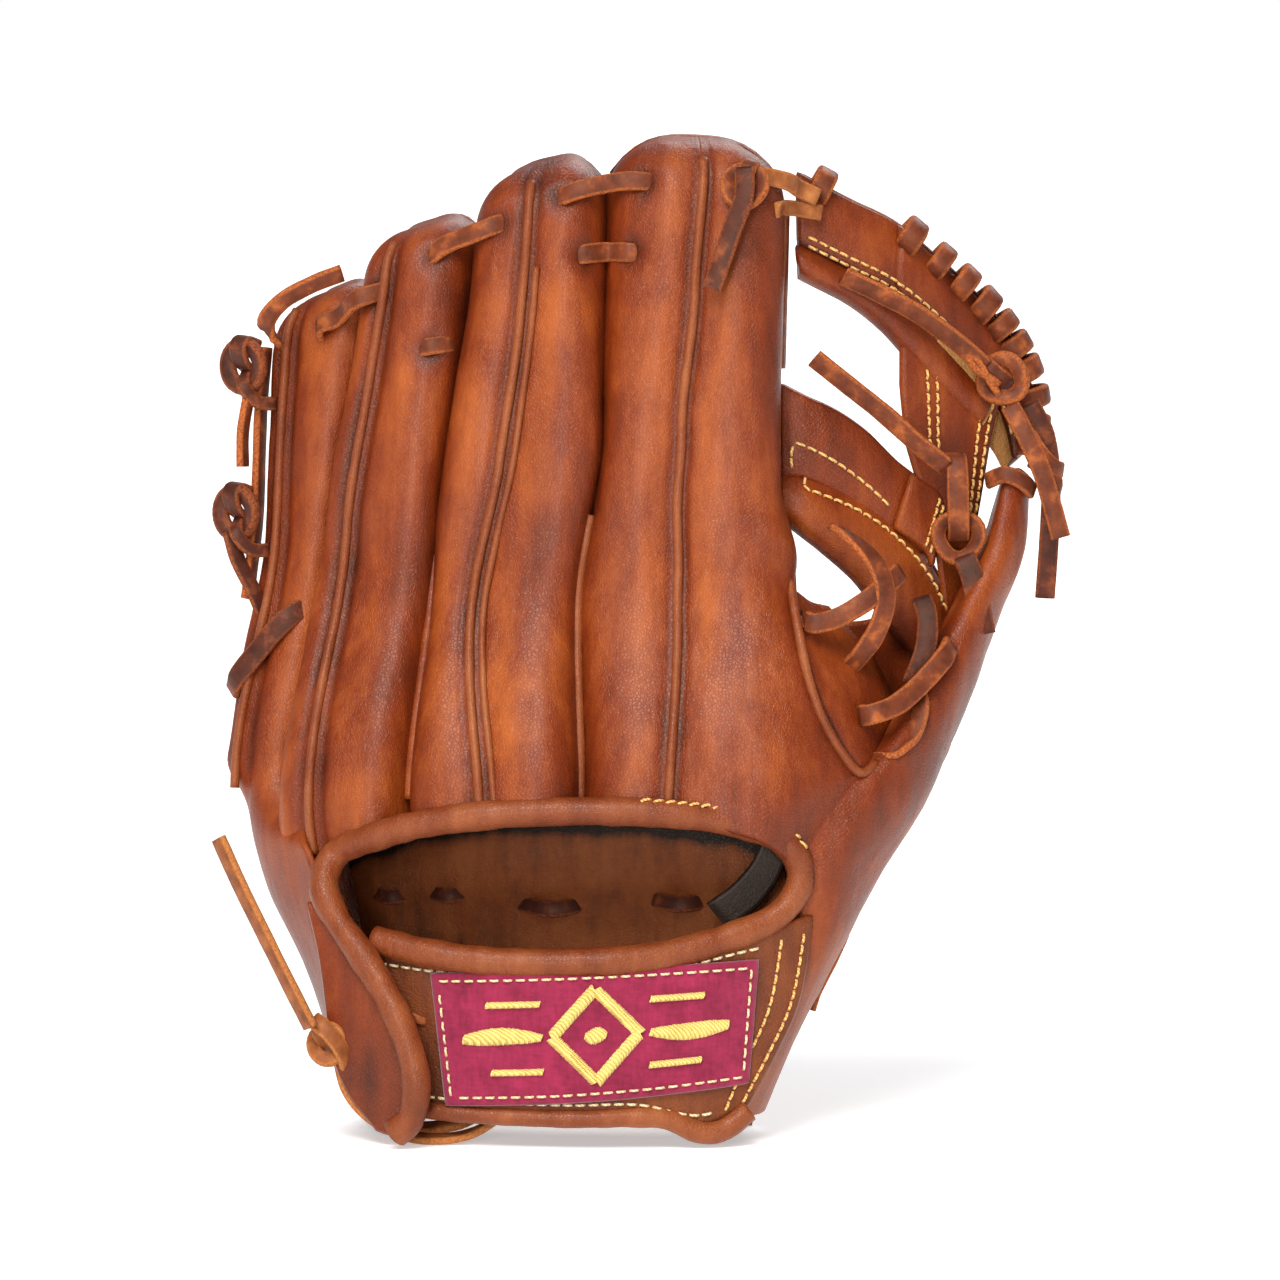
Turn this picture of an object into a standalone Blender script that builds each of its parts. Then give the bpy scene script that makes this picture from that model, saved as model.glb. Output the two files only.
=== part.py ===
"""A fielder's glove for the left hand, standing on its heel: fingertips up, back of the hand towards -Y.

Lengths are millimetres until mesh_object and tube turn them into metres.
"""

import math

import bmesh
import bpy
from mathutils import Matrix, Vector

MM = 0.001
SHIFT = Vector((0.35, -11.33, 0.0))  # brings the middle of the glove's outline over the origin

LEATHER = 2.2
LINER = 1.2
PAD = 4.6
LACE_WIDTH = 5.6
LACE_THICK = 2.4
CORD_RADIUS = 2.0
ROLL_RADIUS = 3.5
WELT_RADIUS = 1.3
FIT = 0.45  # clearance between pieces that touch on the real glove
LAYER_GAP = 1.5  # between curved layers laid on each other

CREASE_X = 47.0  # where the pocket is deepest, between the index finger and the thumb
POCKET_Y = 14.0
FINGER_WRAP = 18.0
THUMB_WRAP = 62.0
HEEL_BULGE = 12.0
TIP_CURL = 16.0

# The palm line of each edge between fingers, as (height, x), and the yaw of the wall that rises from it.
EDGES = (
    (((0, -72), (40, -84), (90, -91), (140, -93), (245, -91)), 66),
    (((0, -46), (60, -72), (90, -77), (150, -79), (245, -69)), 38),
    (((0, -20), (60, -48), (98, -53), (160, -52), (262, -42)), 18),
    (((0, 6), (60, -8), (98, -14), (150, -16), (200, -9), (285, -8)), 4),
    (((0, 30), (44, 47), (95, 46), (158, 44), (185, 38), (285, 40)), -8),
)
# Each finger: root height at its left and right edge, tip height at both, and depth against the others.
FINGERS = {
    "pinky": (0, (90, 88.5), (236, 243), 0.78),
    "ring": (1, (89, 96), (255, 262), 0.98),
    "middle": (2, (97.5, 99), (272, 279), 1.0),
    "index": (3, (101, 93.5), (283, 281), 0.86),
}
TIP_DEPTH = 25.0
ROOT_DEPTH = 50.0
TIP_ROUND = 20.0

COLOURS = {
    "leather": (0.42, 0.16, 0.055),
    "welt": (0.5, 0.21, 0.08),
    "lace": (0.24, 0.085, 0.04),
    "liner": (0.33, 0.14, 0.06),
    "felt": (0.62, 0.58, 0.5),
    "label": (0.3, 0.02, 0.08),
}


def ease(t):
    t = min(max(t, 0.0), 1.0)
    return t * t * (3 - 2 * t)


def smooth_path(points, count):
    """count + 1 points on a smooth curve through the given ones."""
    points = [Vector(p) for p in points]
    ends = [2 * points[0] - points[1], *points, 2 * points[-1] - points[-2]]
    found = []
    for step in range(count + 1):
        place = step * (len(points) - 1) / count
        i = min(int(place), len(points) - 2)
        t = place - i
        a, b, c, d = ends[i : i + 4]
        found.append(0.5 * (2 * b + (c - a) * t + (2 * a - 5 * b + 4 * c - d) * t**2 + (3 * b - a - 3 * c + d) * t**3))
    return found


def surface(rows, across, along):
    """A net of points resampled smoothly to across + 1 by along + 1 points."""
    fine = [smooth_path(row, across) for row in rows]
    columns = [smooth_path([row[i] for row in fine], along) for i in range(across + 1)]
    return [[column[j] for column in columns] for j in range(along + 1)]


def value_at(table, z):
    """Reads a short (height, value) table smoothly."""
    if z <= table[0][0]:
        return table[0][1]
    for (low, first), (high, last) in zip(table, table[1:]):
        if z <= high:
            return first + (last - first) * ease((z - low) / (high - low))
    return table[-1][1]


# ---------------------------------------------------------------- glove shape


def palm_y(x, z):
    """The pocket's surface, which every palm-side layer is laid against."""
    side = (x - CREASE_X) / 100
    wrap = FINGER_WRAP * side**2 * (0.6 + 0.4 * ease(z / 90)) if side < 0 else THUMB_WRAP * side**1.4
    heel = HEEL_BULGE * (1 - ease(z / 95)) * ease((50 - x) / 45)
    curl = TIP_CURL * max(0.0, (z - 120) / 165) ** 2
    return POCKET_Y + wrap + heel + curl


def strap_y(x):
    """The back of the wrist, an arch across it."""
    return -34 + 16 * ((x + 12) / 64) ** 2


def edge_x(edge, z):
    return value_at(EDGES[edge][0], z)


def wall(edge):
    yaw = math.radians(EDGES[edge][1])
    return Vector((-math.sin(yaw), -math.cos(yaw), 0))


def finger_point(name, s, z, lift=0.0, inset=0.0):
    """A point on a finger's back: s runs from -1 at the pinky side to 1, and lift stands off the leather."""
    edge, roots, tips, share = FINGERS[name]
    tip = tips[0] + (tips[1] - tips[0]) * (s + 1) / 2
    near_tip = min(max((z - (tip - TIP_ROUND)) / TIP_ROUND, 0.0), 0.985)
    closing = (1 - near_tip**2.4) ** (1 / 2.4)
    depth = TIP_DEPTH + (ROOT_DEPTH - TIP_DEPTH) * (1 - ease((z - 90) / 80))
    depth = (depth * share - inset) * closing
    left, right = edge_x(edge, z) + FIT + inset, edge_x(edge + 1, z) - FIT - inset
    middle, half = (left + right) / 2, (right - left) / 2 * (0.55 + 0.45 * closing)
    x = middle + half * s
    height = (1 - abs(s) ** 2.6) ** (1 / 2.6)
    mix = (s + 1) / 2
    way = (wall(edge) * (1 - mix) + wall(edge + 1) * mix).normalized()
    foot = Vector((x, palm_y(x, z) - 2 * FIT, z))
    out = way + Vector((s, 0, 0)) * 0.8 * abs(s) ** 3
    return foot + way * depth * height + out.normalized() * lift


def finger_grid(name, across, heights, inset=0.0, root_lift=0.0, tip_drop=0.0):
    _, roots, tips, _ = FINGERS[name]
    rows = []
    for v in heights:
        row = []
        for i in range(across + 1):
            s = -math.cos(math.pi * i / across)
            mix = (s + 1) / 2
            low = roots[0] + (roots[1] - roots[0]) * mix + root_lift
            high = tips[0] + (tips[1] - tips[0]) * mix - tip_drop
            row.append(finger_point(name, s, low + (high - low) * v, inset=inset))
        rows.append(row)
    return rows


# ---------------------------------------------------------------- making solids


def clear_scene():
    for obj in list(bpy.data.objects):
        bpy.data.objects.remove(obj)


def material(slot):
    found = bpy.data.materials.get(slot)
    if not found:
        found = bpy.data.materials.new(slot)
        found.use_nodes = True
        shader = found.node_tree.nodes["Principled BSDF"]
        shader.inputs["Base Color"].default_value = (*COLOURS[slot], 1)
        shader.inputs["Roughness"].default_value = 0.9 if slot in ("felt", "label") else 0.55
        shader.inputs["Metallic"].default_value = 0.0
    return found


def link(obj, slot):
    obj.data.materials.append(material(slot).copy())
    bpy.data.collections["baseball_glove"].objects.link(obj)
    return obj


def mesh_object(name, points, faces, slot):
    mesh = bpy.data.meshes.new(name)
    mesh.from_pydata([(Vector(p) + SHIFT) * MM for p in points], [], faces)
    mesh.update()
    mesh.shade_smooth()
    return link(bpy.data.objects.new(name, mesh), slot)


def shell(name, grid, thick, slot, offset=-1.0):
    """An open sheet thickened away from its normal, which faces -Y where rows run +X and rise +Z."""
    wide = len(grid[0])
    points = [p for row in grid for p in row]
    faces = []
    for r in range(len(grid) - 1):
        for c in range(wide - 1):
            a = r * wide + c
            faces.append((a, a + 1, a + 1 + wide, a + wide))
    obj = mesh_object(name, points, faces, slot)
    thicken = obj.modifiers.new("thickness", "SOLIDIFY")
    thicken.thickness = thick * MM
    thicken.offset = offset
    thicken.use_even_offset = offset != 0
    return obj


def ribbon_grid(path, across, width):
    rows = []
    for i, point in enumerate(path):
        along = path[min(i + 1, len(path) - 1)] - path[max(i - 1, 0)]
        side = Vector(across) - Vector(across).project(along)
        side = side.normalized() * width / 2
        rows.append([point - side, point + side])
    return rows


def lace(name, points, across, count, width=LACE_WIDTH, thick=LACE_THICK, slot="lace"):
    """A flat lace along a smooth route; across is the way its width lies."""
    path = smooth_path(points, count)
    return shell(name, ribbon_grid(path, across, width), thick, slot, offset=0.0)


def tube(name, points, radius, count, slot):
    """A round cord, welt or roll along a smooth route."""
    data = bpy.data.curves.new(name, "CURVE")
    data.dimensions = "3D"
    data.bevel_depth = radius * MM
    data.bevel_resolution = 2
    data.use_fill_caps = True
    spline = data.splines.new("POLY")
    path = smooth_path(points, count)
    spline.points.add(len(path) - 1)
    for knot, point in zip(spline.points, path):
        knot.co = (*((point + SHIFT) * MM), 1)
    return link(bpy.data.objects.new(name, data), slot)


def ring(name, centre, normal, radius, thick, slot="lace"):
    """The closed turn of a knot, a torus round its normal."""
    bpy.ops.mesh.primitive_torus_add(
        major_radius=radius * MM, minor_radius=thick * MM, major_segments=14, minor_segments=6
    )
    obj = bpy.context.object
    for collection in list(obj.users_collection):
        collection.objects.unlink(obj)
    obj.name = name
    obj.location = (Vector(centre) + SHIFT) * MM
    obj.rotation_euler = Vector(normal).to_track_quat("Z", "Y").to_euler()
    obj.data.shade_smooth()
    return link(obj, slot)


def cutter(obj):
    """Turns a solid into a cutter that is left out of the glove."""
    bpy.data.collections["baseball_glove"].objects.unlink(obj)
    bpy.data.collections["cutters"].objects.link(obj)
    obj.hide_render = True
    obj.display_type = "WIRE"
    return obj


def cut(obj, tool):
    modifier = obj.modifiers.new("cut", "BOOLEAN")
    modifier.operation = "DIFFERENCE"
    modifier.solver = "EXACT"
    modifier.object = tool
    return obj


def box_cutter(name, low, high):
    bpy.ops.mesh.primitive_cube_add(size=1)
    obj = bpy.context.object
    for collection in list(obj.users_collection):
        collection.objects.unlink(obj)
    obj.name = name
    low, high = (Vector(low) + SHIFT) * MM, (Vector(high) + SHIFT) * MM
    obj.data.transform(Matrix.Translation((low + high) / 2) @ Matrix.Diagonal((*(high - low), 1)))
    return cutter(link(obj, "felt"))


# ---------------------------------------------------------------- pieces on the hand side

FINGER_ROWS = (0.0, 0.08, 0.16, 0.25, 0.35, 0.48, 0.64, 0.8, 0.9, 0.94, 0.97, 0.997)
LINER_ROWS = (0.0, 0.12, 0.24, 0.36, 0.5, 0.75, 1.0)
COLUMNS_A_FINGER = 4
SLIT_LOW = 178.0


def palm_columns(z):
    """x across the palm at a height, finger by finger."""
    found = [edge_x(0, z)]
    for edge in range(4):
        left, right = edge_x(edge, z), edge_x(edge + 1, z)
        found += [left + (right - left) * i / COLUMNS_A_FINGER for i in range(1, COLUMNS_A_FINGER + 1)]
    return found


def palm_tops():
    """The height of each palm column's top: a round end on every finger."""
    tops = [0.0] * (4 * COLUMNS_A_FINGER + 1)
    for edge, _, tips, _ in FINGERS.values():
        for i in range(COLUMNS_A_FINGER + 1):
            s = 2 * i / COLUMNS_A_FINGER - 1
            top = tips[0] + (tips[1] - tips[0]) * (s + 1) / 2 - 11 * abs(s) ** 3
            column = edge * COLUMNS_A_FINGER + i
            tops[column] = min(tops[column], top) if tops[column] else top
    return tops


def make_palm():
    tops = palm_tops()
    rows = []
    for step in range(13):
        v = step / 12
        row = []
        for column, top in enumerate(tops):
            z = -3 + (top + 3) * v
            x = palm_columns(z)[column]
            row.append((x, palm_y(x, z), z))
        rows.append(row)
    palm = shell("palm_shell", rows, LEATHER + 0.4, "leather")
    floor = box_cutter("floor_cutter", (-200, -100, -20), (200, 200, 0))
    cut(palm, floor)
    for edge in (1, 2, 3):
        low = [(edge_x(edge, z), palm_y(edge_x(edge, z), z) + 1.5, z) for z in (SLIT_LOW, 210, 240, 300)]
        slit = lace(f"slit_cutter_{edge}", low, (0, 1, 0.0), 6, width=16, thick=2.2)
        cut(palm, cutter(slit))
    return palm


def palm_layer(name, x_range, z_range, back, thick, slot, across=8, along=5):
    rows = []
    for j in range(along + 1):
        z = z_range[0] + (z_range[1] - z_range[0]) * j / along
        left, right = max(x_range[0], edge_x(0, z) + 6), min(x_range[1], edge_x(4, z) - 5)
        rows.append([(x, palm_y(x, z) - back, z) for x in (left + (right - left) * i / across for i in range(across + 1))])
    return shell(name, rows, thick, slot)


def make_layers():
    behind = LAYER_GAP + PAD
    palm_layer("palm_pad", (-80, 60), (44, 86), behind, PAD, "felt")
    palm_layer("heel_pad", (-80, 60), (7, 42), behind, PAD, "felt")
    palm_layer("palm_liner", (-80, 60), (5, 87), behind + LAYER_GAP + LINER, LINER, "liner")


def make_fingers():
    backs = {}
    for name in FINGERS:
        grid = finger_grid(name, 12, FINGER_ROWS)
        backs[name] = shell(f"{name}_back", grid, LEATHER, "leather")
        lining = finger_grid(name, 10, LINER_ROWS, inset=LEATHER + 1.6 * LAYER_GAP, root_lift=3, tip_drop=38)
        shell(f"{name}_liner", lining, LINER, "liner")
    return backs


def on(name, *places):
    return [finger_point(name, *place) for place in places]


def make_welts():
    lift = WELT_RADIUS + LAYER_GAP
    welts = {
        "pinky": ((0.0, 100), (0.0, 130), (0.0, 170), (0.0, 205), (0.0, 225)),
        "ring": ((-0.1, 102), (-0.2, 140), (-0.25, 180), (-0.2, 215), (-0.1, 240)),
        "middle": ((-0.05, 104), (-0.35, 150), (-0.2, 190), (-0.1, 230), (-0.05, 258)),
        "index": ((-0.15, 103), (0.0, 150), (0.0, 200), (0.12, 240), (0.2, 266)),
    }
    for name, places in welts.items():
        tube(f"{name}_welt", on(name, *[(s, z, lift) for s, z in places]), WELT_RADIUS, 12, "welt")


def make_fingertip_laces(backs):
    """One lace threads the four fingertips; a short one ties the middle and index fingers lower down."""
    route = (
        on("pinky", (0.1, 222, -6), (0.35, 226, -1), (0.55, 229, 3.4))
        + on("ring", (-0.72, 236, 4.2), (-0.5, 238, 0), (-0.2, 240, -7), (0.25, 246, -7), (0.5, 249, 0), (0.7, 252, 4))
        + on("middle", (-0.72, 256, 4.2), (-0.5, 258, 0), (-0.2, 259, -7), (0.2, 264, -7), (0.45, 266, 0), (0.65, 268, 4))
        + on("index", (-0.75, 270, 4.6), (-0.55, 270, 0), (-0.2, 268, -7), (0.2, 267, -7), (0.5, 266, -5))
    )
    lace("fingertip_lace", route, (0, 0, 1), 66)
    hole = cutter(lace("fingertip_hole", route, (0, 0, 1), 66, width=LACE_WIDTH + 1.4, thick=LACE_THICK + 1.4))
    for name in FINGERS:
        cut(backs[name], hole)
    low = on("middle", (0.35, 248, -8), (0.8, 250, -2.5)) + on("index", (-0.8, 250, -2.5), (-0.35, 248, -8))
    lace("middle_index_lace", low, (0, 0, 1), 10)
    hole = cutter(lace("middle_index_hole", low, (0, 0, 1), 10, width=LACE_WIDTH + 1.4, thick=LACE_THICK + 1.4))
    cut(backs["middle"], hole)
    cut(backs["index"], hole)


OPENING = (
    (-65, 3.9, 9.6), (-61.5, 10, 9.4), (-61.5, 20, 9.0), (-66, 33, 9.0), (-75, 46, 7.5), (-86, 60, 5.0), (-90, 71, 3.0),
)
OPENING_TOP = (
    (-85, -9, 80), (-76, -14, 85), (-60, -20, 90.5), (-34, -25.5, 94), (0, -28, 94.5), (26, -26, 91.5),
    (40, -22.5, 85.5), (44.2, -20.5, 78), (42, -21.5, 71), (33, -25, 64.5), (8, -32.5, 57.5), (-14, -34.5, 55.5),
    (-39, -31.5, 55), (-58, -26, 56), (-72, -21, 58),
)


def make_opening():
    """The rolled edge runs up the tab, round the hand opening and back along the top of the strap."""
    tab = [(x, strap_y(x) - back, z) for x, z, back in OPENING]
    tube("opening_binding", [*tab, *OPENING_TOP], ROLL_RADIUS, 44, "leather")


STRAP_TOP = ((-74, 53.5), (-58, 51.5), (-39, 50.3), (-14, 50.8), (8, 52.8), (33, 59.5), (46, 66))
STRAP_LOW = ((-74, 13.6), (-39, 11.6), (0, 11.9), (17, 8.2), (28, 11), (46, 12))


def strap_grid(left, right, low, high, lift, across):
    rows = []
    for j in range(4):
        row = []
        for i in range(across + 1):
            x = left + (right - left) * i / across
            z = low(x) + (high(x) - low(x)) * j / 3
            lean = 15 * (1 - (z - 12) / 48) * ease((x + 12) / 58)
            row.append((x - lean, strap_y(x - lean) - lift, z))
        rows.append(row)
    return rows


def make_strap():
    top = lambda x: value_at(STRAP_TOP, x)
    low = lambda x: value_at(STRAP_LOW, x)
    shell("wrist_strap", strap_grid(-74, 44, low, top, 0, 12), LEATHER, "leather")
    label = strap_grid(-57, 31, lambda x: 14 + 0.06 * (x + 57), lambda x: 48.5 + 0.02 * (x + 57), 1.9, 10)
    shell("label_patch", label, 1.4, "label")
    edge = [(-73, 10.8), (-50, 8.6), (-20, 8), (0, 7.6), (15, 2.9), (25, 7.0), (29, 9)]
    tube("strap_binding", [(x, strap_y(x) + 0.4, z) for x, z in edge], 2.6, 20, "leather")


def make_wrist():
    panel = (
        ((-80, 40, 24), (-88, 28, 25), (-91, 14, 27), (-88, 0, 30)),
        ((-86, 43, 46), (-95, 30, 46), (-98, 14, 47), (-92.5, -1, 50)),
        ((-90, 44.5, 68), (-101, 31, 68), (-105, 14, 68), (-97, -1, 70)),
        ((-91, 46, 88), (-105, 33, 88), (-109, 16, 88), (-99, 1, 88)),
    )
    shell("heel_panel", surface(panel, 6, 5), LEATHER, "leather")
    side = (
        ((30, -22, 9), (34.5, -12, 8), (35, 2, 8), (31, 15, 8)),
        ((37.5, -21, 25), (42, -12, 25), (42.5, 0, 25), (39.5, 11, 25)),
        ((45, -18.5, 42), (49, -11, 42), (49.3, 0, 42), (47, 11, 42)),
    )
    shell("thumb_heel_panel", surface(side, 5, 4), LEATHER, "leather")
    tab = (
        ((-73.5, -26, 7), (-71, -27.5, 5.5), (-67.5, -30, 4.4)),
        ((-82, -21.5, 20), (-75, -27, 19), (-67, -30.5, 20)),
        ((-87, -16.5, 38), (-80, -22, 37), (-73.5, -27, 35)),
        ((-91.5, -11, 54), (-87.5, -15, 51.5), (-82.5, -19.5, 48)),
        ((-95, -5.5, 66), (-93.5, -8, 65), (-92, -10.5, 63.5)),
    )
    shell("wrist_tab", surface(tab, 4, 8), LEATHER, "leather")


def make_hand_laces():
    wrist = ((-84, -8, 24), (-79, -11, 15), (-70, -13, 7.5), (-56, -15, 3.6), (-45, -18, 5), (-37, -21, 9))
    lace("wrist_lace", wrist, (0.2, 0, 1), 16)
    ring("wrist_knot", (-88.5, -20.5, 27), (-0.4, -1, 0.1), 4.6, 2.0)
    heel = [(x, palm_y(x, 64) - 12 - (i % 2), 64 + 0.05 * x) for i, x in enumerate(range(-70, 30, 14))]
    lace("heel_lace", heel, (0, 0, 1), 14)
    edge = on("pinky", (-0.75, 220, 4), (-0.75, 205, 4), (-0.75, 180, 4), (-0.75, 162, 4), (-0.72, 148, 4))
    lace("pinky_side_lace", edge, (0.45, 1, 0), 14)
    for name, z in (("pinky_upper_knot", 214), ("pinky_lower_knot", 178)):
        centre = finger_point("pinky", -0.45, z, 8.2)
        ring(name, centre, (-0.9, -0.45, 0), 5.0, 2.0)
    loop = on("pinky", (-0.75, 127, 3.4), (-0.35, 133, 5.2), (0, 138, 7.0), (0.3, 143, 6), (0.6, 148, 3.4))
    lace("pinky_loop", loop, (-0.1, 0.2, 1), 10)
    ring("index_tip_knot", finger_point("index", 0.5, 270, 5.6), (-0.1, -1, 0.55), 4.8, 2.0)
    top = [finger_point("index", 0.78, 268, 6), finger_point("index", 0.95, 266, 7.5), (47.5, 20, 268)]
    lace("index_web_tie", top, (0.2, 0, 1), 6)
    side = [(edge_x(4, z) + 3.4, palm_y(42, z) - 3.5, z) for z in (262, 240, 215, 190, 165)]
    lace("index_web_lace", side, (0, 1, 0), 12)


# ---------------------------------------------------------------- pieces on the thumb side

THUMB_BACK = (
    ((51.0, -16, 45), (52.5, -11, 45), (53.4, -2, 45), (53.2, 6, 45), (52.0, 12, 45)),
    ((50.8, -20, 62), (54.5, -18, 61), (59.5, -8, 60), (60.5, 3, 59), (56.5, 13.5, 59)),
    ((51.0, -22, 81), (57.5, -20, 80), (67, -9, 77), (70, 4, 75), (65, 17, 75.5)),
    ((50.5, -21, 98), (60.5, -19, 97), (75, -8, 94), (80, 7, 91), (74, 21, 91)),
    ((60, -8, 105), (70, -9, 108), (82, -1, 107), (88, 13, 105), (82, 26, 104)),
    ((73, 12, 121), (79.5, 0, 124), (91, 6, 125), (96.5, 20, 123), (90.5, 32.5, 121)),
    ((86, 26, 142), (90.5, 13, 144), (99, 16, 146), (104.5, 28, 144), (99.5, 38.5, 142)),
    ((97, 34, 163), (100, 23, 165), (106.5, 25, 165), (111, 35, 163), (107, 44, 162)),
    ((104.5, 42.5, 181), (105.5, 36, 184), (109.5, 37, 184.5), (112.5, 42, 182), (110, 48, 180)),
)
THUMB_FRONT = (
    ((50, 46), (52.5, 46)),
    ((50, 61), (57, 59)),
    ((50, 80), (65.5, 75.5)),
    ((50, 100), (74.5, 91)),
    ((50, 120), (82.5, 104)),
    ((51, 138), (91, 121)),
    ((72, 130), (95.5, 133)),
    ((86, 142), (100, 144)),
    ((97, 163), (107.5, 162)),
    ((104.5, 181), (110.5, 180)),
)


def web_grid(low, high, across, along, ahead=0.0):
    """A web panel between a lower and an upper outline given as (x, z)."""
    low = smooth_path([(x, 0, z) for x, z in low], across)
    high = smooth_path([(x, 0, z) for x, z in high], across)
    rows = []
    for j in range(along + 1):
        flat = [a.lerp(b, j / along) for a, b in zip(low, high)]
        rows.append([(p.x, palm_y(p.x, p.z) + ahead, p.z) for p in flat])
    return rows


def make_thumb():
    shell("thumb_back", surface(THUMB_BACK, 8, 14), LEATHER, "leather")
    rows = []
    for (left, low), (right, high) in THUMB_FRONT:
        row = []
        for i in range(4):
            x, z = left + (right - left) * i / 3, low + (high - low) * i / 3
            row.append((x, palm_y(x, z) + 1.2, z))
        rows.append(row)
    shell("thumb_front", surface(rows, 5, 16), LEATHER + 0.4, "leather")
    pad = [[(p[0], p[1] - FIT - PAD + 1, p[2]) for p in row[:3]] for row in rows[2:5]]
    shell("thumb_pad", surface(pad, 4, 4), PAD - 1, "felt")
    gusset = (
        ((52, -13, 112), (59, -8, 113), (66, 1, 115), (69, 9, 117)),
        ((51, -12, 122), (57, -4, 123), (62, 5, 125), (63, 11, 127)),
        ((50.5, -10, 134), (54, -2, 134), (58, 6, 134), (59, 10, 134)),
        ((50.5, -7, 146), (52, -1, 145), (54, 5, 143), (55, 9, 141)),
    )
    shell("thumb_gusset", surface(gusset, 5, 5), LEATHER, "leather")
    piping = ((51.5, -10.5, 150), (52, -14.5, 134), (53.5, -16.5, 120), (58, -15.5, 109), (63, -13.5, 103.6))
    tube("gusset_welt", [(x - 0.4, y - 1.8, z + 0.7) for x, y, z in piping], WELT_RADIUS, 10, "welt")


TOP_BAR_HIGH = ((47.5, 271), (60, 264), (73, 258), (84, 249), (94, 240), (103, 230), (110, 219), (114, 206), (112, 194))
TOP_BAR_LOW = ((47.5, 243), (59, 236), (68, 229), (77, 222), (86, 213), (93, 206), (99, 199), (103, 193), (105.5, 188))
LOWER_HIGH = ((47.5, 183), (56, 180), (67, 174), (77, 166), (84, 155), (86, 148.5))
LOWER_LOW = ((47.5, 171), (54, 164), (62, 157), (69, 149), (75, 143), (81, 144))
BRIDGE_HIGH = ((47.5, 207), (57, 202), (66, 195), (74, 187), (80, 184))
BRIDGE_LOW = ((47.5, 186), (56, 183), (66, 177), (74, 171.5), (80, 166))


def make_web():
    shell("web_top_bar", web_grid(TOP_BAR_LOW, TOP_BAR_HIGH, 12, 3), LEATHER, "leather")
    post = web_grid(((85, 160), (93, 158)), ((79, 218.5), (101, 195.5)), 4, 6)
    shell("web_post", post, LEATHER, "leather")
    shell("web_bridge", web_grid(BRIDGE_LOW, BRIDGE_HIGH, 6, 2), LEATHER, "leather")
    shell("web_lower_bar", web_grid(LOWER_LOW, LOWER_HIGH, 8, 2, ahead=2.9), LEATHER, "leather")
    roll = [(x, palm_y(x, z) - 2.6, z + 3) for x, z in TOP_BAR_LOW[:5]]
    tube("web_roll", roll, 2.0, 14, "leather")
    edge = smooth_path([(x, 0, z) for x, z in TOP_BAR_HIGH], 24)
    whip = []
    for i, point in enumerate(edge):
        along = (edge[min(i + 1, 24)] - edge[max(i - 1, 0)]).normalized()
        out = point + Vector((-along.z, 0, along.x)) * 2.6
        whip.append((out.x, palm_y(out.x, out.z) + 1.1 + (1.4 if i % 2 else -1.4), out.z))
    lace("web_top_lace", whip, (0, 1, 0), 24, width=4.4)


def make_thumb_laces():
    loop = ((56, 3, 165), (64, 5, 160), (67.5, 4, 152), (66, 1, 143), (61, -4, 133))
    lace("crotch_lace_upper", loop, (0.8, 0.2, -0.4), 12)
    lower = ((65, -12, 121), (73, -8, 125), (80, -3, 130), (86, 2, 136))
    lace("crotch_lace_lower", lower, (-0.3, 0.2, 1), 8)
    base = ((79, 14, 157), (82.5, 12, 150), (82.5, 9, 143), (81, 5, 138))
    lace("crotch_lace_side", base, (0.8, 0, 0.2), 8)
    ring("thumb_tip_knot", (104.5, 40, 213), (-0.2, -1, 0.1), 5.4, 2.0)
    ring("web_base_knot", (90.5, 27.5, 168), (-0.2, -1, 0.1), 5.6, 2.0)
    strap = ((88.5, 26, 189), (89.5, 23, 184), (90, 22.5, 177), (90.3, 23, 171.5))
    lace("web_base_loop", strap, (1, 0, 0), 8)
    edge = ((82, 27, 112), (84.5, 29, 106), (83, 33, 99), (80.5, 36, 91))
    lace("thumb_edge_lace", [(x + 8, y, z) for x, y, z in edge], (0.8, -0.3, 0.3), 8)


def make_tails():
    """Free lace ends, which hang from their knots."""
    index = on("index", (0.5, 274, 12), (0.47, 266, 10.5), (0.38, 258, 8), (0.28, 249, 7.2), (0.17, 240, 6.6))
    tube("index_tip_tail", index, CORD_RADIUS, 6, "lace")
    high = ((99, 34.5, 217), (91, 29, 224), (80, 24.5, 232), (69, 21.5, 238), (58.5, 19, 243))
    tube("thumb_tail_high", high, CORD_RADIUS, 9, "lace")
    outer = ((106.5, 34, 205.5), (111, 31, 197), (115.5, 30, 187), (118.5, 30.5, 177), (121, 31.5, 168))
    tube("thumb_tail_outer", outer, CORD_RADIUS, 7, "lace")
    low = ((112.5, 39, 206), (117, 38, 196), (118.5, 38.5, 182), (118, 39.5, 166), (117, 41, 150))
    tube("thumb_tail_low", low, CORD_RADIUS, 9, "lace")
    web = ((87.5, 20, 189), (80, 17, 195), (70, 14.5, 204), (60, 12.5, 212), (50, 11.5, 220))
    tube("web_tail", web, CORD_RADIUS, 8, "lace")
    wrist = ((-92, -21.5, 33), (-98, -22, 45), (-105, -21, 59), (-112, -19, 73), (-118, -17, 86))
    tube("wrist_tail", wrist, CORD_RADIUS, 10, "lace")


def main():
    clear_scene()
    for name in ("baseball_glove", "cutters"):
        bpy.context.scene.collection.children.link(bpy.data.collections.new(name))
    make_palm()
    make_layers()
    backs = make_fingers()
    make_fingertip_laces(backs)
    make_welts()
    make_opening()
    make_strap()
    make_wrist()
    make_hand_laces()
    make_thumb()
    make_web()
    make_thumb_laces()
    make_tails()


main()
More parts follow.
